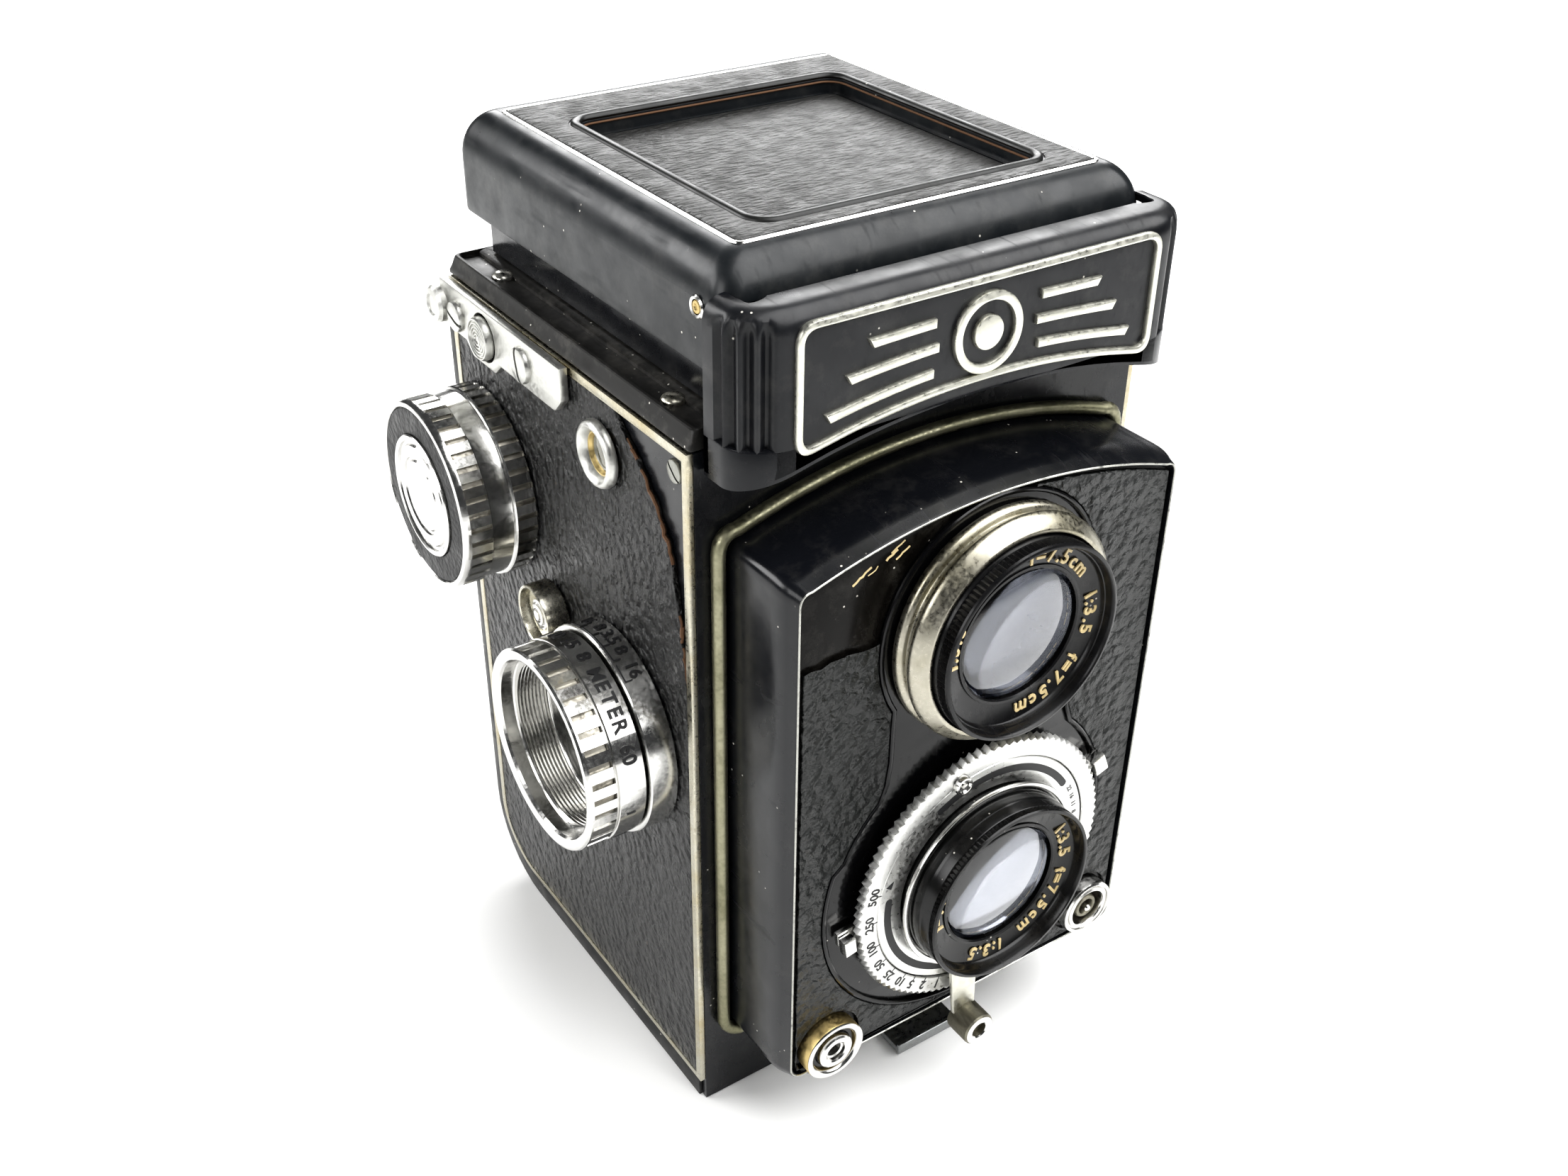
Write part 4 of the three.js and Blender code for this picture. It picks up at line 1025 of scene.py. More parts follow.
def make_wind_knob():
    grip = [
        (0, 31.6), (2.6, 31.6), (2.6, 38.7), (14.2, 38.7), (15.1, 38.75), (15.2, 38.9, 0.95),
        (15.2, 42.0, 0.95), (15.2, 42.05), (15.05, 42.3), (14.75, 42.45), (14.7, 42.6), (14.7, 45.8),
        (14.75, 46.0), (15.0, 46.1), (15.0, 46.15, 0.8), (15.0, 49.5, 0.8), (15.0, 49.55), (14.95, 50.1),
        (14.7, 50.55), (14.35, 50.7), (14.1, 50.7), (13.95, 50.5), (13.9, 50.0), (0, 50.0),
    ]
    finished(turned, "wind_knob", grip, *WIND_AXIS, finish=CHROME, teeth=40, shape=SLOTS, sharp=25)
    for name, near, far, r in (("inner", 38.9, 42.0, 14.45), ("outer", 46.15, 49.5, 14.4)):
        turned("wind_grime_" + name, ring_profile(12, r, near, far, 0.05), *WIND_AXIS, "wind_knob",
               "dull_metal", SLOT_METAL, 64)
    turned("wind_knob_inlay", ring_profile(9.8, 13.85, 50.0, 50.6, 0.2), *WIND_AXIS, "wind_knob",
           "leatherette", INLAY, 72, replaces=("wind_knob_leather",))
    cap = [(0, 50.1), (9.7, 50.1), (9.75, 50.9), (9.6, 51.05), (9.2, 51.1), (8.9, 50.95), (8.75, 50.6),
           (8.3, 50.55), (8.0, 50.9), (7.5, 51.1), (6.7, 51.15), (6.3, 51.0), (6.15, 50.7), (5.8, 50.65),
           (5.5, 50.95), (4.6, 51.05), (2.5, 51.15), (0, 51.2)]
    turned("wind_knob_disc", cap, *WIND_AXIS, "wind_knob", "chrome", CHROME, 96, sharp=25,
           replaces=("wind_knob_cap",))


def make_focus_knob():
    cup = [(0, 44.7), (12.4, 44.7), (12.5, 44.8)]
    for i in range(8):
        cup += [(12.55, 45.0 + 0.6 * i), (12.95, 45.25 + 0.6 * i), (12.95, 45.35 + 0.6 * i),
                (12.55, 45.5 + 0.6 * i)]
    cup += [(13.3, 49.8), (13.5, 50.0), (13.55, 51.9), (13.8, 52.3), (14.3, 52.6), (14.9, 52.7),
            (15.3, 52.55), (15.5, 52.2), (15.5, 51.9), (15.5, 51.85, 0.8), (15.5, 48.35, 0.8), (15.5, 48.3),
            (15.3, 48.2), (15.2, 48.1), (15.2, 48.0), (15.5, 47.85), (15.55, 47.75), (15.55, 43.7),
            (15.4, 43.55), (2.6, 43.55), (2.6, 32.5), (0, 32.5)]
    finished(turned, "focus_knob", cup, *FOCUS_AXIS, finish=CHROME, teeth=38, shape=SLOTS, sharp=25)
    turned("focus_grime", ring_profile(14.0, 14.88, 48.4, 51.8, 0.05), *FOCUS_AXIS, "focus_knob",
           "dull_metal", SLOT_METAL, 64)
    turned("focus_hub", [(0, 44.7), (2.2, 44.7), (2.2, 45.9), (1.9, 46.2), (0.9, 46.2), (0.8, 45.6),
                         (0, 45.6)], *FOCUS_AXIS, "focus_knob", "dull_metal", DULL, 32)
    ring = [(3.4, 38.75), (16.0, 38.75), (16.15, 38.9), (16.15, 42.95), (16.0, 43.15), (15.6, 43.25),
            (3.4, 43.25), (3.4, 38.75)]
    finished(turned, "focus_scale", ring, *FOCUS_AXIS, finish=CHROME, node="focus_scale_ring", around=128)
    marks = [("8", 3.0, 99), ("60", 3.0, 158), ("15", 3.0, 84), ("10", 3.0, 68), ("6", 3.0, 52),
             ("30", 3.0, 232), ("5", 3.0, 36)]
    marks += [(letter, 3.0, 112.5 + 7.5 * i) for i, letter in enumerate("METER")]
    items = [(text, size, on_drum(*FOCUS_AXIS, 15.55, angle, 45.75)) for text, size, angle in marks]
    tick = [box_outline(-0.1, 0.1, -0.7, 0.7)]
    items += [(tick, 1, on_drum(*FOCUS_AXIS, 15.55, angle, 46.0)) for angle in (195, 20, 250, 275, 300)]
    figures("focus_distances", items, "focus_knob", INK, 0.14)
    bracket = [[(-1.5, -0.1), (1.5, -0.1), (1.5, 1.1), (1.3, 1.1), (1.3, 0.1), (-1.5, 0.1)]]
    items = []
    for text, angle in (("16", 118), ("8", 105), ("3.5", 94), ("8", 83), ("16", 70)):
        items.append((text, 2.7, on_drum(*FOCUS_AXIS, 16.15, angle, 40.7)))
        items.append((bracket, 1, on_drum(*FOCUS_AXIS, 16.15, angle, 42.6)))
    figures("focus_depth_marks", items, "camera_body", INK, 0.14)


def make_pull_knobs():
    for name, y, z in (("upper", WIND.y, WIND.z), ("lower", SUPPLY.y, SUPPLY.z)):
        profile = [(0, 30), (2.4, 30), (2.4, 39.3), (5.8, 39.3), (6.2, 39.6), (6.2, 39.7, 0.3),
                   (6.2, 42.9, 0.3), (6.2, 43.0), (6.05, 43.5), (5.6, 43.95), (4.9, 44.0), (4.6, 43.6),
                   (2.4, 43.5), (2.2, 43.75), (0, 43.9)]
        turned(name + "_knob_finished", profile, "right", y, z, name + "_spool_knob", "chrome", CHROME,
               teeth=44,
               shape=((0, 0), (0.5, 1)), sharp=30, replaces=(name + "_spool_knob",))
        turned(name + "_knob_washer", ring_profile(3.7, 7.4, 38.45, 38.95, 0.15), "right", y, z,
               "camera_body", "chrome",
               PLATE, 64)


# ---- Front standard -------------------------------------------------------------------------------
def make_guide_frame():
    path = arched_ring(1.22, -36.35)
    frame_piece = tube("guide_frame_finished", path, 0.95, "camera_body", GUIDE, around=16,
                       flat=1.2, out=(0, -1, 0))
    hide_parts("guide_frame")


def make_standard():
    section = [
        (-1.6, -34.25), (-0.2, -34.2), (0, -34.4), (0, -40.0), (0, -46.6), (-0.05, -47.8), (-0.2, -48.8),
        (-0.45, -49.7), (-0.75, -50.45), (-0.9, -51.1), (-1.02, -51.4), (-1.2, -51.5), (-1.4, -51.42),
        (-1.5, -51.1), (-1.55, -50.5), (-1.7, -50.3), (-1.7, -48.6), (-1.6, -48.4),
    ]
    verts, faces = loft([arched_ring(grow, y) for grow, y in section], closed=True)
    add_piece("standard_finished", verts, faces, "front_standard", BOARD_BLACK, 32,
              ("standard_shell",))
    holes = [circle_outline(15.4, 0, VIEWING_Z), circle_outline(18.0, 0, TAKING_Z),
             circle_outline(3.5, BUTTON.x, BUTTON.z, 32)]
    slab("standard_face", [arched_outline(-1.6)] + holes, "front", 48.5, 50.5, "front_standard",
         "standard_enamel", BOARD_BLACK, 0.1)
    tube("standard_worn_edge", arched_ring(-1.2, -51.43), 0.16, "front_standard",
         WORN_EDGE,
         around=6, flat=0.8)


def eight_outline(grow=0.0):
    """Two discs joined by a waist; the lower left of the larger one steps outwards."""
    upper, lower, points = 18.6 + grow, 25.4 + grow, []
    for i in range(61):
        turn = math.radians(46 - (46 + 226) * i / 60)
        angle = math.degrees(turn) % 360
        r = lower + (1.2 if 157 < angle < 300 else 0.0)
        points.append((r * math.cos(turn), TAKING_Z + r * math.sin(turn)))
    side = 16 + grow
    points += [(-side - 0.5, 66.5), (-side, 70.5), (-side, 76.0)]
    for i in range(41):
        turn = math.radians(211 - (211 + 31) * i / 40)
        points.append((upper * math.cos(turn), VIEWING_Z + upper * math.sin(turn)))
    points += [(side, 76.0), (side, 70.5), (side + 0.5, 66.5)]
    return points


# Torn lower edge of the bare corner, then the way back over the top
BARE_EDGE = [(-34, 89.6), (-31.8, 90.7), (-26, 91.4), (-18.4, 91.2), (-14, 97), (2, 104.8), (5.6, 106.4)]
BARE_TOP = [(8.2, 113), (-34, 113)]
SCRATCHES = ((-23.6, 101.5), (-22.3, 102.4), (-21.2, 102.1), (-18.6, 103.4), (-17.6, 104.3), (-16.9, 103.2))


def make_standard_covering():
    body = "front_standard"
    holes = [eight_outline(0.75), circle_outline(6.0, BUTTON.x, BUTTON.z, 40),
             circle_outline(5.6, SOCKET.x, SOCKET.z, 40)]
    bare = ragged(BARE_EDGE, 1.0, 0.35) + BARE_TOP
    leather = slab("standard_covering", [arched_outline(-2.15, 1.2)] + holes, "front", 50.45, 51.25, body,
                   "leatherette", BOARD_LEATHER, 0.16, 50, ("standard_leather",))
    carve(leather, prism(bare, "front", 49, 53), sharp=50)
    patch = slab("glue_patch", [arched_outline(-1.9, 1.2), eight_outline(0.6)], "front", 50.4, 50.62, body,
                 "standard_enamel", RESIDUE, 0.05)
    elsewhere = bare[:-1] + [(40, 113), (40, 4), (-40, 4), (-40, bare[0][1])]
    carve(patch, prism(elsewhere, "front", 49, 53))
    for i, (x, z) in enumerate(SCRATCHES):
        scratch = [
            (x + 0.5 * k + random.uniform(-0.15, 0.15), -50.64, z + 0.32 * k + random.uniform(-0.1, 0.1))
            for k in range(random.randint(3, 5))
        ]
        tube(f"scratch_{i}", scratch, random.uniform(0.10, 0.2), body, GOLD, closed=False,
             around=6, flat=0.5)
    plate_holes = [circle_outline(15.4, 0, VIEWING_Z), circle_outline(18.0, 0, TAKING_Z)]
    slab("recess_plate", [eight_outline(-0.1)] + plate_holes, "front", 50.55, 50.95, body, "standard_enamel",
         GLOSS_BLACK, 0.08, replaces=("eight_plate",))
    rim = [(x, -51.05, z) for x, z in eight_outline(0.25)]
    tube("recess_rim", rim, 0.42, body, GLOSS_BLACK, around=10, flat=1.0)


# ---- Viewing lens ---------------------------------------------------------------------------------
KNURL = ((0, 0), (0.5, 1))


def make_viewing_lens():
    at = (*VIEWING_AXIS, "front_standard")
    mount = [
        (15.2, 51.4), (17.3, 51.5), (17.55, 51.75), (17.6, 52.4), (17.45, 52.9), (17.0, 53.15), (16.55, 53.3),
        (16.4, 53.7), (16.5, 54.05), (16.9, 54.25), (17.3, 54.5), (17.45, 54.9), (17.4, 55.3), (17.15, 55.7),
        (15.9, 57.1), (15.6, 57.25), (15.3, 57.2), (15.15, 56.9), (15.15, 56.4), (15.2, 51.4),
    ]
    finished(turned, "viewing_ring", mount, *VIEWING_AXIS, finish=CHAMPAGNE, node="viewing_mount_ring",
             around=128, sharp=50)
    barrel = [
        (10.4, 44), (14.9, 44), (14.9, 57.3), (14.75, 57.5), (14.75, 57.7), (14.95, 57.8),
        (14.95, 57.85, 0.25), (14.95, 59.5, 0.25), (14.95, 59.55), (14.85, 59.85), (14.6, 60.0),
        (14.35, 60.0), (14.2, 59.85), (14.1, 59.4), (14.0, 58.6), (13.85, 58.5), (13.75, 57.8),
        (13.55, 57.6), (10.7, 57.1), (10.45, 57.0), (10.4, 44),
    ]
    finished(turned, "viewing_barrel", barrel, *VIEWING_AXIS, finish=LENS_BLACK, node="viewing_lens_barrel",
             teeth=120, shape=KNURL, sharp=40)
    make_optics("viewing", VIEWING_Z, 57.1, 10.35, "viewing_lens_glass", VIEW_COATING)
    name_ring("viewing", VIEWING_Z, 57.38, (("f=7.5cm", 62), ("1:3.5", -2), ("f=7.5cm", -62), ("1:3.5", 170)))


def make_optics(name, z, seat, r, node, coating):
    """Front glass, the coated element behind it and the retaining ring."""
    at = ("front", 0, z, "front_standard")
    dome = [(r, seat - 0.9), (r * 0.9, seat - 0.35), (r * 0.7, seat + 0.3), (r * 0.45, seat + 0.8),
            (r * 0.2, seat + 1.05), (0, seat + 1.1)]
    turned(name + "_front_glass", [(0, seat - 1.4), (r, seat - 1.3)] + dome, *at, "lens_glass", GLASS, 96,
           sharp=80, replaces=(node,))
    dish = [(0, seat - 5), (9.9, seat - 5), (9.9, seat - 1.6), (9.3, seat - 1.6), (8.8, seat - 1.9),
            (7.6, seat - 2.5), (6.2, seat - 2.95), (4.6, seat - 3.3), (3.0, seat - 3.55),
            (1.5, seat - 3.66), (0, seat - 3.7)]
    turned(name + "_inner_element", dish, *at, "silvered_glass", coating, 96, sharp=80)
    turned(name + "_retainer", [(r - 0.05, seat - 0.2), (r + 0.35, seat - 0.3), (r + 0.3, seat + 0.15),
                                (r - 0.1, seat + 0.15), (r - 0.35, seat - 0.05), (r - 0.05, seat - 0.2)],
           *at, "lens_black", LENS_BLACK, 96)


def name_ring(name, z, distance, words):
    """Lens data in pale figures round the inner ring, read clockwise."""
    items = []
    for word, middle_angle in words:
        widths = [{"m": 1.35, ".": 0.5, ":": 0.5, "1": 0.75, "f": 0.6}.get(letter, 1.0) for letter in word]
        total, run = sum(widths), 0.0
        for letter, width in zip(word, widths):
            offset = run + width / 2 - total / 2
            run += width
            items.append((letter, 3.0, on_ring("front", 0, z, distance, 12.15, middle_angle - offset * 9.2)))
    figures(name + "_lens_data", items, "front_standard", GOLD, 0.24)


# ---- Shutter and taking lens ----------------------------------------------------------------------
def arc_band(r0, r1, a0, a1, round_ends=True, steps=28, z=TAKING_Z):
    """A curved band in (x, z), by default about the taking lens axis."""
    turns = [math.radians(a0 + (a1 - a0) * i / steps) for i in range(steps + 1)]
    mid, half = (r0 + r1) / 2, (r1 - r0) / 2

    def cap(turn, start):
        cx, cz = mid * math.cos(turn), z + mid * math.sin(turn)
        spread = [start + math.pi * k / 8 for k in range(1, 8)] if round_ends else []
        return [(cx + half * math.cos(turn + a), cz + half * math.sin(turn + a)) for a in spread]

    points = [(r1 * math.cos(t), z + r1 * math.sin(t)) for t in turns] + cap(turns[-1], 0)
    points += [(r0 * math.cos(t), z + r0 * math.sin(t)) for t in reversed(turns)]
    return points + cap(turns[0], math.pi)


SPEEDS = (("500", 167), ("250", 181), ("100", 195), ("50", 206.5), ("25", 216.5), ("10", 226), ("5", 233.5),
          ("2", 241), ("1", 249.5), ("B", 262))


def make_shutter():
    at = (*TAKING_AXIS, "front_standard")
    housing = [
        (15.2, 43), (17.5, 43), (17.5, 51.55), (20.9, 51.55), (21.2, 51.8), (21.2, 52.4), (21.0, 52.6),
        (20.6, 52.65), (15.2, 52.65), (15.2, 43),
    ]
    turned("shutter_housing_finished", housing, *at, "black_enamel", GLOSS_BLACK, 96,
           replaces=("shutter_housing",))
    ring = [
        (19.75, 52.8), (21.6, 52.75), (22.3, 52.8), (23.05, 53.0, 0.75), (23.05, 54.0, 0.75),
        (22.75, 54.35, 0.45), (22.2, 54.45), (19.9, 54.45), (19.75, 54.3), (19.75, 52.8),
    ]
    finished(turned, "speed_ring", ring, *TAKING_AXIS, finish=DIAL_SILVER, teeth=98, shape=KNURL, sharp=30)
    items = [(text, 2.1, on_ring(*TAKING_AXIS, 54.46, 21.05, angle)) for text, angle in SPEEDS]
    tick = [box_outline(-0.08, 0.08, -0.35, 0.35)]
    items += [(tick, 1, on_ring(*TAKING_AXIS, 54.45, 20.05, angle)) for _, angle in SPEEDS]
    figures("speed_numbers", items, "speed_ring", INK, 0.03)
    face = [(15.2, 52.8), (19.6, 52.8), (19.6, 54.1), (19.45, 54.25), (18.95, 54.25), (15.9, 54.2),
            (15.2, 54.0), (15.2, 52.8)]
    finished(turned, "shutter_face", face, *TAKING_AXIS, finish=DIAL_SILVER, around=128)
    marks = [arc_band(17.15, 18.35, 33, 121, z=0), arc_band(17.15, 18.35, 173, 263, z=0)]
    marks.append([(-18.3, 5.2), (-16.9, 5.9), (-17.35, 4.5)])
    items = [([outline], 1, on_face(*TAKING_AXIS, 54.24, 0, 0)) for outline in marks]
    for text, angle in (("22", 26), ("16", 20), ("11", 14), ("8", 8.5), ("5.6", 2.5), ("4", -4),
                        ("3.5", -10)):
        items.append((text, 1.15, on_ring(*TAKING_AXIS, 54.24, 18.2, angle)))
    figures("aperture_numbers", items, "front_standard", INK, 0.03)
    post_x, post_z = 19.9 * math.cos(math.radians(107)), TAKING_Z + 19.9 * math.sin(math.radians(107))
    post = [(0, 54.5), (1.5, 54.5), (1.55, 54.9), (1.35, 55.3), (1.1, 55.35), (0.85, 55.1), (0.5, 55.1),
            (0.45, 55.5), (0, 55.55)]
    turned("index_post", post, "front", post_x, post_z, "front_standard", "chrome", CHROME, 40)
    slab("index_arm", [arc_band(21.6, 25.4, 183.5, 189, False, 8)], "front", 51.5, 52.5, "front_standard",
         "chrome", CHROME, 0.2)
    slab("index_step", [arc_band(23.4, 25.4, 184.5, 191, False, 8)], "front", 52.5, 54.4, "front_standard",
         "chrome", CHROME, 0.3)
    finished(slab, "aperture_lever", [arc_band(21.5, 22.5, -2, 46)], "front", 51.75, 52.3, finish=CHROME,
             edge=0.1)
    slab("aperture_tab", [arc_band(22.0, 26.0, 19, 25.4, False, 8)], "front", 51.75, 52.5, "aperture_lever",
         "chrome", CHROME, 0.2)
    slab("aperture_grip", [arc_band(23.6, 26.0, 18.5, 25.8, False, 8)], "front", 52.2, 54.2, "aperture_lever",
         "chrome", CHROME, 0.35)


def make_taking_lens():
    at = (*TAKING_AXIS, "front_standard")
    barrel = [
        (10.4, 44), (14.9, 44), (14.9, 54.9), (15.1, 55.1), (15.1, 55.5), (14.9, 55.7), (14.9, 57.8),
        (14.8, 58.1), (14.7, 58.3), (14.7, 59.7), (14.6, 59.85), (14.65, 60.0), (14.8, 60.05),
        (14.8, 60.1, 0.25), (14.8, 60.95, 0.25), (14.8, 61.0), (14.65, 61.25), (14.4, 61.3), (14.2, 61.3),
        (14.05, 61.1), (13.95, 60.2), (13.85, 59.5), (13.7, 59.1), (13.5, 58.9), (10.7, 58.4),
        (10.45, 58.3), (10.4, 44),
    ]
    finished(turned, "taking_barrel", barrel, *TAKING_AXIS, finish=BRASSED_BLACK, node="taking_lens_barrel",
             teeth=124, shape=KNURL, sharp=40)
    make_optics("taking", TAKING_Z, 58.4, 10.35, "taking_lens_glass", TAKE_COATING)
    name_ring("taking", TAKING_Z, 58.68, (("1:3.5", 16), ("f=7.5cm", -40), ("1:3.5", -100), ("f=7.5cm", 165)))


def make_cocking_lever():
    turned("cocking_ring", ring_profile(15.3, 16.1, 55.6, 56.2, 0.2), *TAKING_AXIS, "cocking_lever",
           "chrome", CHROME, 96, replaces=("cocking_lever",))
    arm = [(-6.4, 29.6), (-1.3, 29.2), (-0.9, 17.6), (-1.2, 16.4), (-2.2, 15.5), (-3.6, 15.5), (-4.6, 16.4),
           (-4.9, 17.6)]
    slab("cocking_arm", [arm], "front", 55.65, 56.55, "cocking_lever", "champagne_metal", ARM, 0.25)
    knob = [(0, 55.6), (2.7, 55.6), (2.8, 55.8, 0.12), (2.8, 59.8, 0.12), (2.75, 59.95), (2.5, 60.2),
            (1.5, 60.2), (1.35, 60.05), (1.3, 59.2), (0, 59.2)]
    turned("cocking_knob", knob, *LEVER_AXIS, "cocking_lever", "champagne_metal", KNOB_BROWN, teeth=34,
           shape=KNURL, sharp=40)
    turned("cocking_knob_end", [(1.32, 60.0), (2.45, 60.15), (2.5, 60.23), (1.5, 60.26), (1.32, 60.1),
                                (1.32, 60.0)],
           *LEVER_AXIS, "cocking_lever", "chrome", CHROME, 40)


def make_release_button():
    collar = [(3.9, 50.5), (5.1, 50.5), (5.15, 51.0), (5.15, 53.1), (5.05, 53.3), (3.9, 53.0), (3.9, 50.5)]
    turned("release_collar_side", collar, *BUTTON_AXIS, "front_standard", "chrome", BRASS, 64,
           replaces=("shutter_release_collar",))
    turned("release_collar_top", [(3.9, 52.9), (5.05, 53.2), (5.08, 53.4), (4.9, 53.55), (4.6, 53.6),
                                  (4.2, 53.45), (3.95, 53.1), (3.9, 52.9)],
           *BUTTON_AXIS, "front_standard", "chrome", CHROME, 64)
    turned("release_groove", ring_profile(3.15, 3.95, 50.5, 52.6, 0.1), *BUTTON_AXIS, "front_standard",
           "black_enamel", GLOSS_BLACK, 48)
    button = [(0, 46), (3.05, 46), (3.05, 53.1), (2.95, 53.5), (2.7, 53.7), (1.9, 53.7), (1.65, 53.5),
              (1.6, 53.2)]
    for i in range(5):
        button += [(1.6, 53.0 - 0.4 * i), (1.3, 52.85 - 0.4 * i)]
    finished(turned, "release_button", button + [(1.3, 50.9), (0, 50.6)], *BUTTON_AXIS, finish=CHROME,
             node="shutter_release_button", around=48)
    turned("release_button_thread", [(0, 50.7), (1.5, 50.7), (1.55, 51.2), (0, 51.2)], *BUTTON_AXIS,
           "shutter_button", "dull_metal", GRIME, 24)


def make_socket():
    at = (*SOCKET_AXIS, "front_standard")
    outer = [(3.3, 50.5), (5.0, 50.5), (5.0, 52.9), (4.9, 53.3), (4.6, 53.5), (4.35, 53.4), (4.25, 53.1),
             (4.1, 53.05), (4.0, 53.35), (3.7, 53.5), (3.4, 53.4), (3.25, 53.1), (3.2, 51.4), (3.3, 50.5)]
    finished(turned, "socket", outer, *SOCKET_AXIS, finish=CHROME, node="flash_socket", around=64)
    turned("socket_inner", [(0, 50.6), (2.2, 50.6), (2.2, 52.6), (2.0, 52.9), (1.5, 52.9), (1.3, 52.5),
                            (1.3, 51.4), (0, 51.4)],
           *at, "dull_metal", KNOB_BROWN, 40)
    turned("socket_floor", [(0, 50.5), (3.3, 50.5), (3.3, 50.9), (0, 50.9)], *at, "dull_metal", GRIME, 40)
    turned("socket_pin", [(0, 51), (0.6, 51), (0.6, 53.3), (0.4, 53.55), (0, 53.6)], *at, "chrome", CHROME,
           24)


# ---- Back, base and the plainer pieces --------------------------------------------------------------
def make_back():
    soften("back_door", SATIN_BLACK, 0.25)
    covering = flat(rect_ring(-36.4, 36.4, 16.2, 106.6, 2.0, 0, 8))
    slab("back_covering", [covering], "front", -38.2, -37.45, "back", "leatherette", LEATHER, 0.14, 50,
                ("back_leather",))
    for node, material in (("back_hinge_leaf", SATIN_BLACK), ("front_catch", CATCH), ("hood_base", BLACK)):
        soften(node, material, 0.2)
    finished(turned, "lock_ring", [(5.95, 0.1), (9.1, 0.1), (9.2, 0.25, 0.25), (9.2, 1.3, 0.25), (9.1, 1.5),
                                   (5.95, 1.5), (5.95, 0.1)], *BUSH_AXIS, finish=CHROME,
                                   node="back_lock_ring", teeth=60, shape=KNURL, sharp=30)
    bush = [(3.1, 0.2), (3.3, 0.05), (5.4, 0.05), (5.6, 0.2), (5.6, 1.75), (9.2, 1.75), (9.2, 3.4),
            (5.6, 3.4), (5.6, 4), (3.1, 4)]
    for i in range(5):
        bush += [(3.4, 3.6 - 0.7 * i), (3.1, 3.3 - 0.7 * i)]
    finished(turned, "tripod_bush", bush + [(3.1, 0.2)], *BUSH_AXIS, finish=PLATE, around=48, sharp=25)
    marks = [
        (letter, 2.2, on_face("down", 0, BUSH_Y, -0.02, x, 0)) for letter, x in (("O", -13.5), ("C", 13.5))
    ]
    figures("lock_marks", marks, "back", IVORY, 0.03)


MAKERS = (
    make_lid, make_lid_top, make_hood_pins, make_flange, make_nameplate, make_nameplate_relief,
    make_side_covering, make_trim, make_lugs, make_left_fittings, make_wind_knob, make_focus_knob,
    make_pull_knobs, make_guide_frame, make_standard, make_standard_covering, make_viewing_lens,
    make_shutter, make_taking_lens, make_cocking_lever, make_release_button, make_socket, make_back,
)
for make in MAKERS:
    make()


# ---- Camera, floor and light ----------------------------------------------------------------------
STANDPOINT = (-130.33, -190.23, 213.06)
AZIMUTH, ELEVATION, ROLL = -34.55, 32.55, 0.77  # degrees
FOCAL_LENGTH = 37.88
BACKDROP = 1.4  # brightness the camera sees beyond the near floor; it lights nothing
FLOOR_REACH = 4.0  # metres
WORLD_LIGHT = 0.09
EXPOSURE = -0.45
# Name, place, point aimed at, size, watts
SOFTBOXES = (
    ("overhead", (260, -300, 650), (0, 0, 60), (800, 800), 15.0),
    ("rear_right", (480, 700, 520), (0, 0, 60), (800, 380), 10.0),
    ("rear_left", (-640, 560, 460), (0, 0, 60), (700, 360), 8.0),
    ("left_fill", (-700, -120, 420), (-60, 0, 40), (360, 360), 3.0),
)


def make_camera():
    data = bpy.data.cameras.new("camera")
    data.lens = FOCAL_LENGTH
    data.sensor_width = 36
    data.clip_start = 0.01
    holder = linked("camera", data)
    azimuth, elevation, roll = map(math.radians, (AZIMUTH, ELEVATION, ROLL))
    back = Vector((
        math.sin(azimuth) * math.cos(elevation), -math.cos(azimuth) * math.cos(elevation),
        math.sin(elevation),
    ))
    right = Vector((0, 0, 1)).cross(back).normalized()
    up = back.cross(right)
    across = right * math.cos(roll) + up * math.sin(roll)
    upright = up * math.cos(roll) - right * math.sin(roll)
    matrix = Matrix((across, upright, back)).transposed().to_4x4()
    matrix.translation = Vector(STANDPOINT) * MM
    holder.matrix_world = matrix
    bpy.context.scene.camera = holder


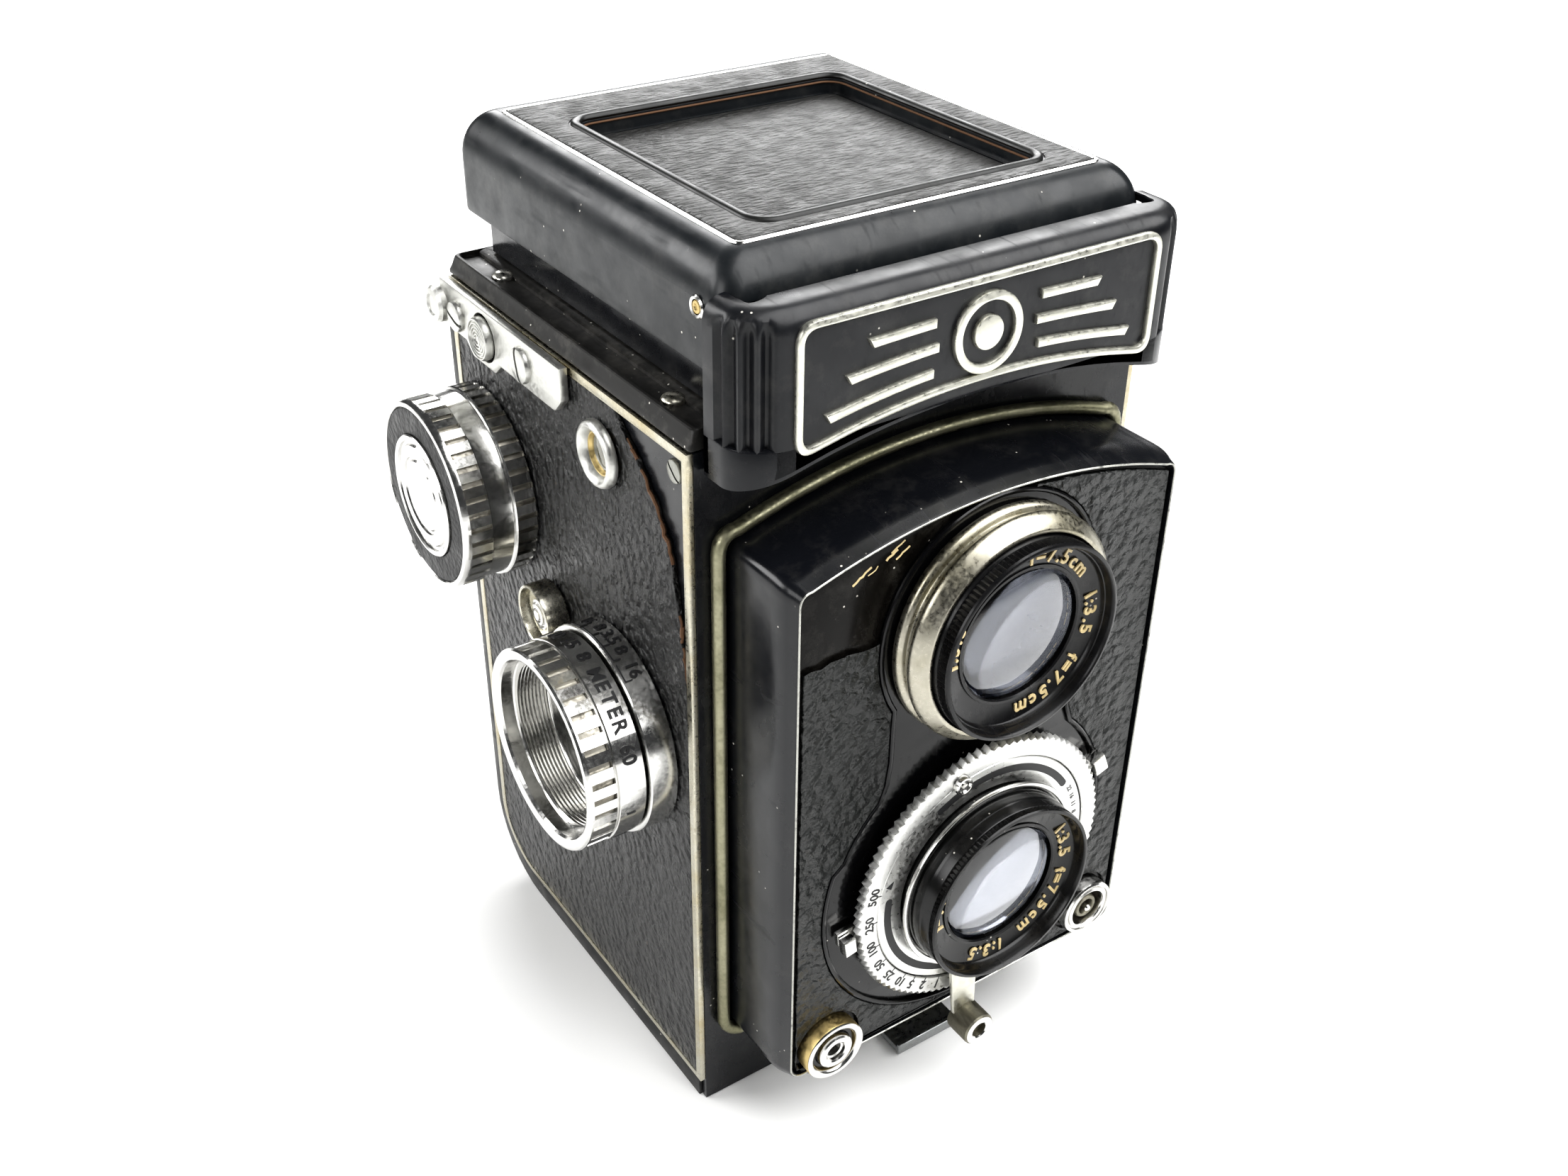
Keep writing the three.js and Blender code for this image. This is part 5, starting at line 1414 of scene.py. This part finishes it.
def make_stage():
    mesh = bpy.data.meshes.new("floor")
    corners = box_outline(-FLOOR_REACH, FLOOR_REACH, -FLOOR_REACH, FLOOR_REACH)
    mesh.from_pydata([(x, y, 0) for x, y in corners], [], [(0, 1, 2, 3)])
    s = Shader("floor", (0.93, 0.93, 0.92), 0.7)
    s.link(s.mix(s.noise(0.004, 3), (0.92, 0.92, 0.91), (0.95, 0.95, 0.94)), "Base Color")
    seen = s.node("ShaderNodeLightPath").outputs["Is Camera Ray"]
    away = s.node("ShaderNodeVectorMath", {0: s.position}, operation="LENGTH").outputs["Value"]
    s.set("Emission Color", (1, 1, 1, 1))
    s.link(s.maths("MULTIPLY", seen, s.spread(away, 0.4, 1.0, 0, BACKDROP)), "Emission Strength")
    mesh.materials.append(s.material)
    linked("floor", mesh)


def softbox(name, place_mm, aim_mm, size_mm, power):
    data = bpy.data.lights.new(name, "AREA")
    data.shape = "RECTANGLE"
    data.size, data.size_y = size_mm[0] * MM, size_mm[1] * MM
    data.energy = power
    lamp = linked(name, data)
    lamp.location = Vector(place_mm) * MM
    lamp.rotation_euler = (Vector(aim_mm) - Vector(place_mm)).to_track_quat("-Z", "Y").to_euler()


def make_light():
    world = bpy.data.worlds.new("studio")
    world.use_nodes = True
    tree = world.node_tree
    soft = tree.nodes["Background"]
    soft.inputs["Color"].default_value = (0.95, 0.97, 1.0, 1)
    soft.inputs["Strength"].default_value = WORLD_LIGHT
    backdrop = tree.nodes.new("ShaderNodeBackground")
    backdrop.inputs["Strength"].default_value = BACKDROP
    choice = tree.nodes.new("ShaderNodeMixShader")
    tree.links.new(tree.nodes.new("ShaderNodeLightPath").outputs["Is Camera Ray"], choice.inputs[0])
    tree.links.new(soft.outputs[0], choice.inputs[1])
    tree.links.new(backdrop.outputs[0], choice.inputs[2])
    tree.links.new(choice.outputs[0], tree.nodes["World Output"].inputs["Surface"])
    bpy.context.scene.world = world
    for lamp in SOFTBOXES:
        softbox(*lamp)
    view = bpy.context.scene.view_settings
    view.view_transform = "Standard"
    view.look = "Medium High Contrast"
    view.exposure = EXPOSURE


make_camera()
make_stage()
make_light()
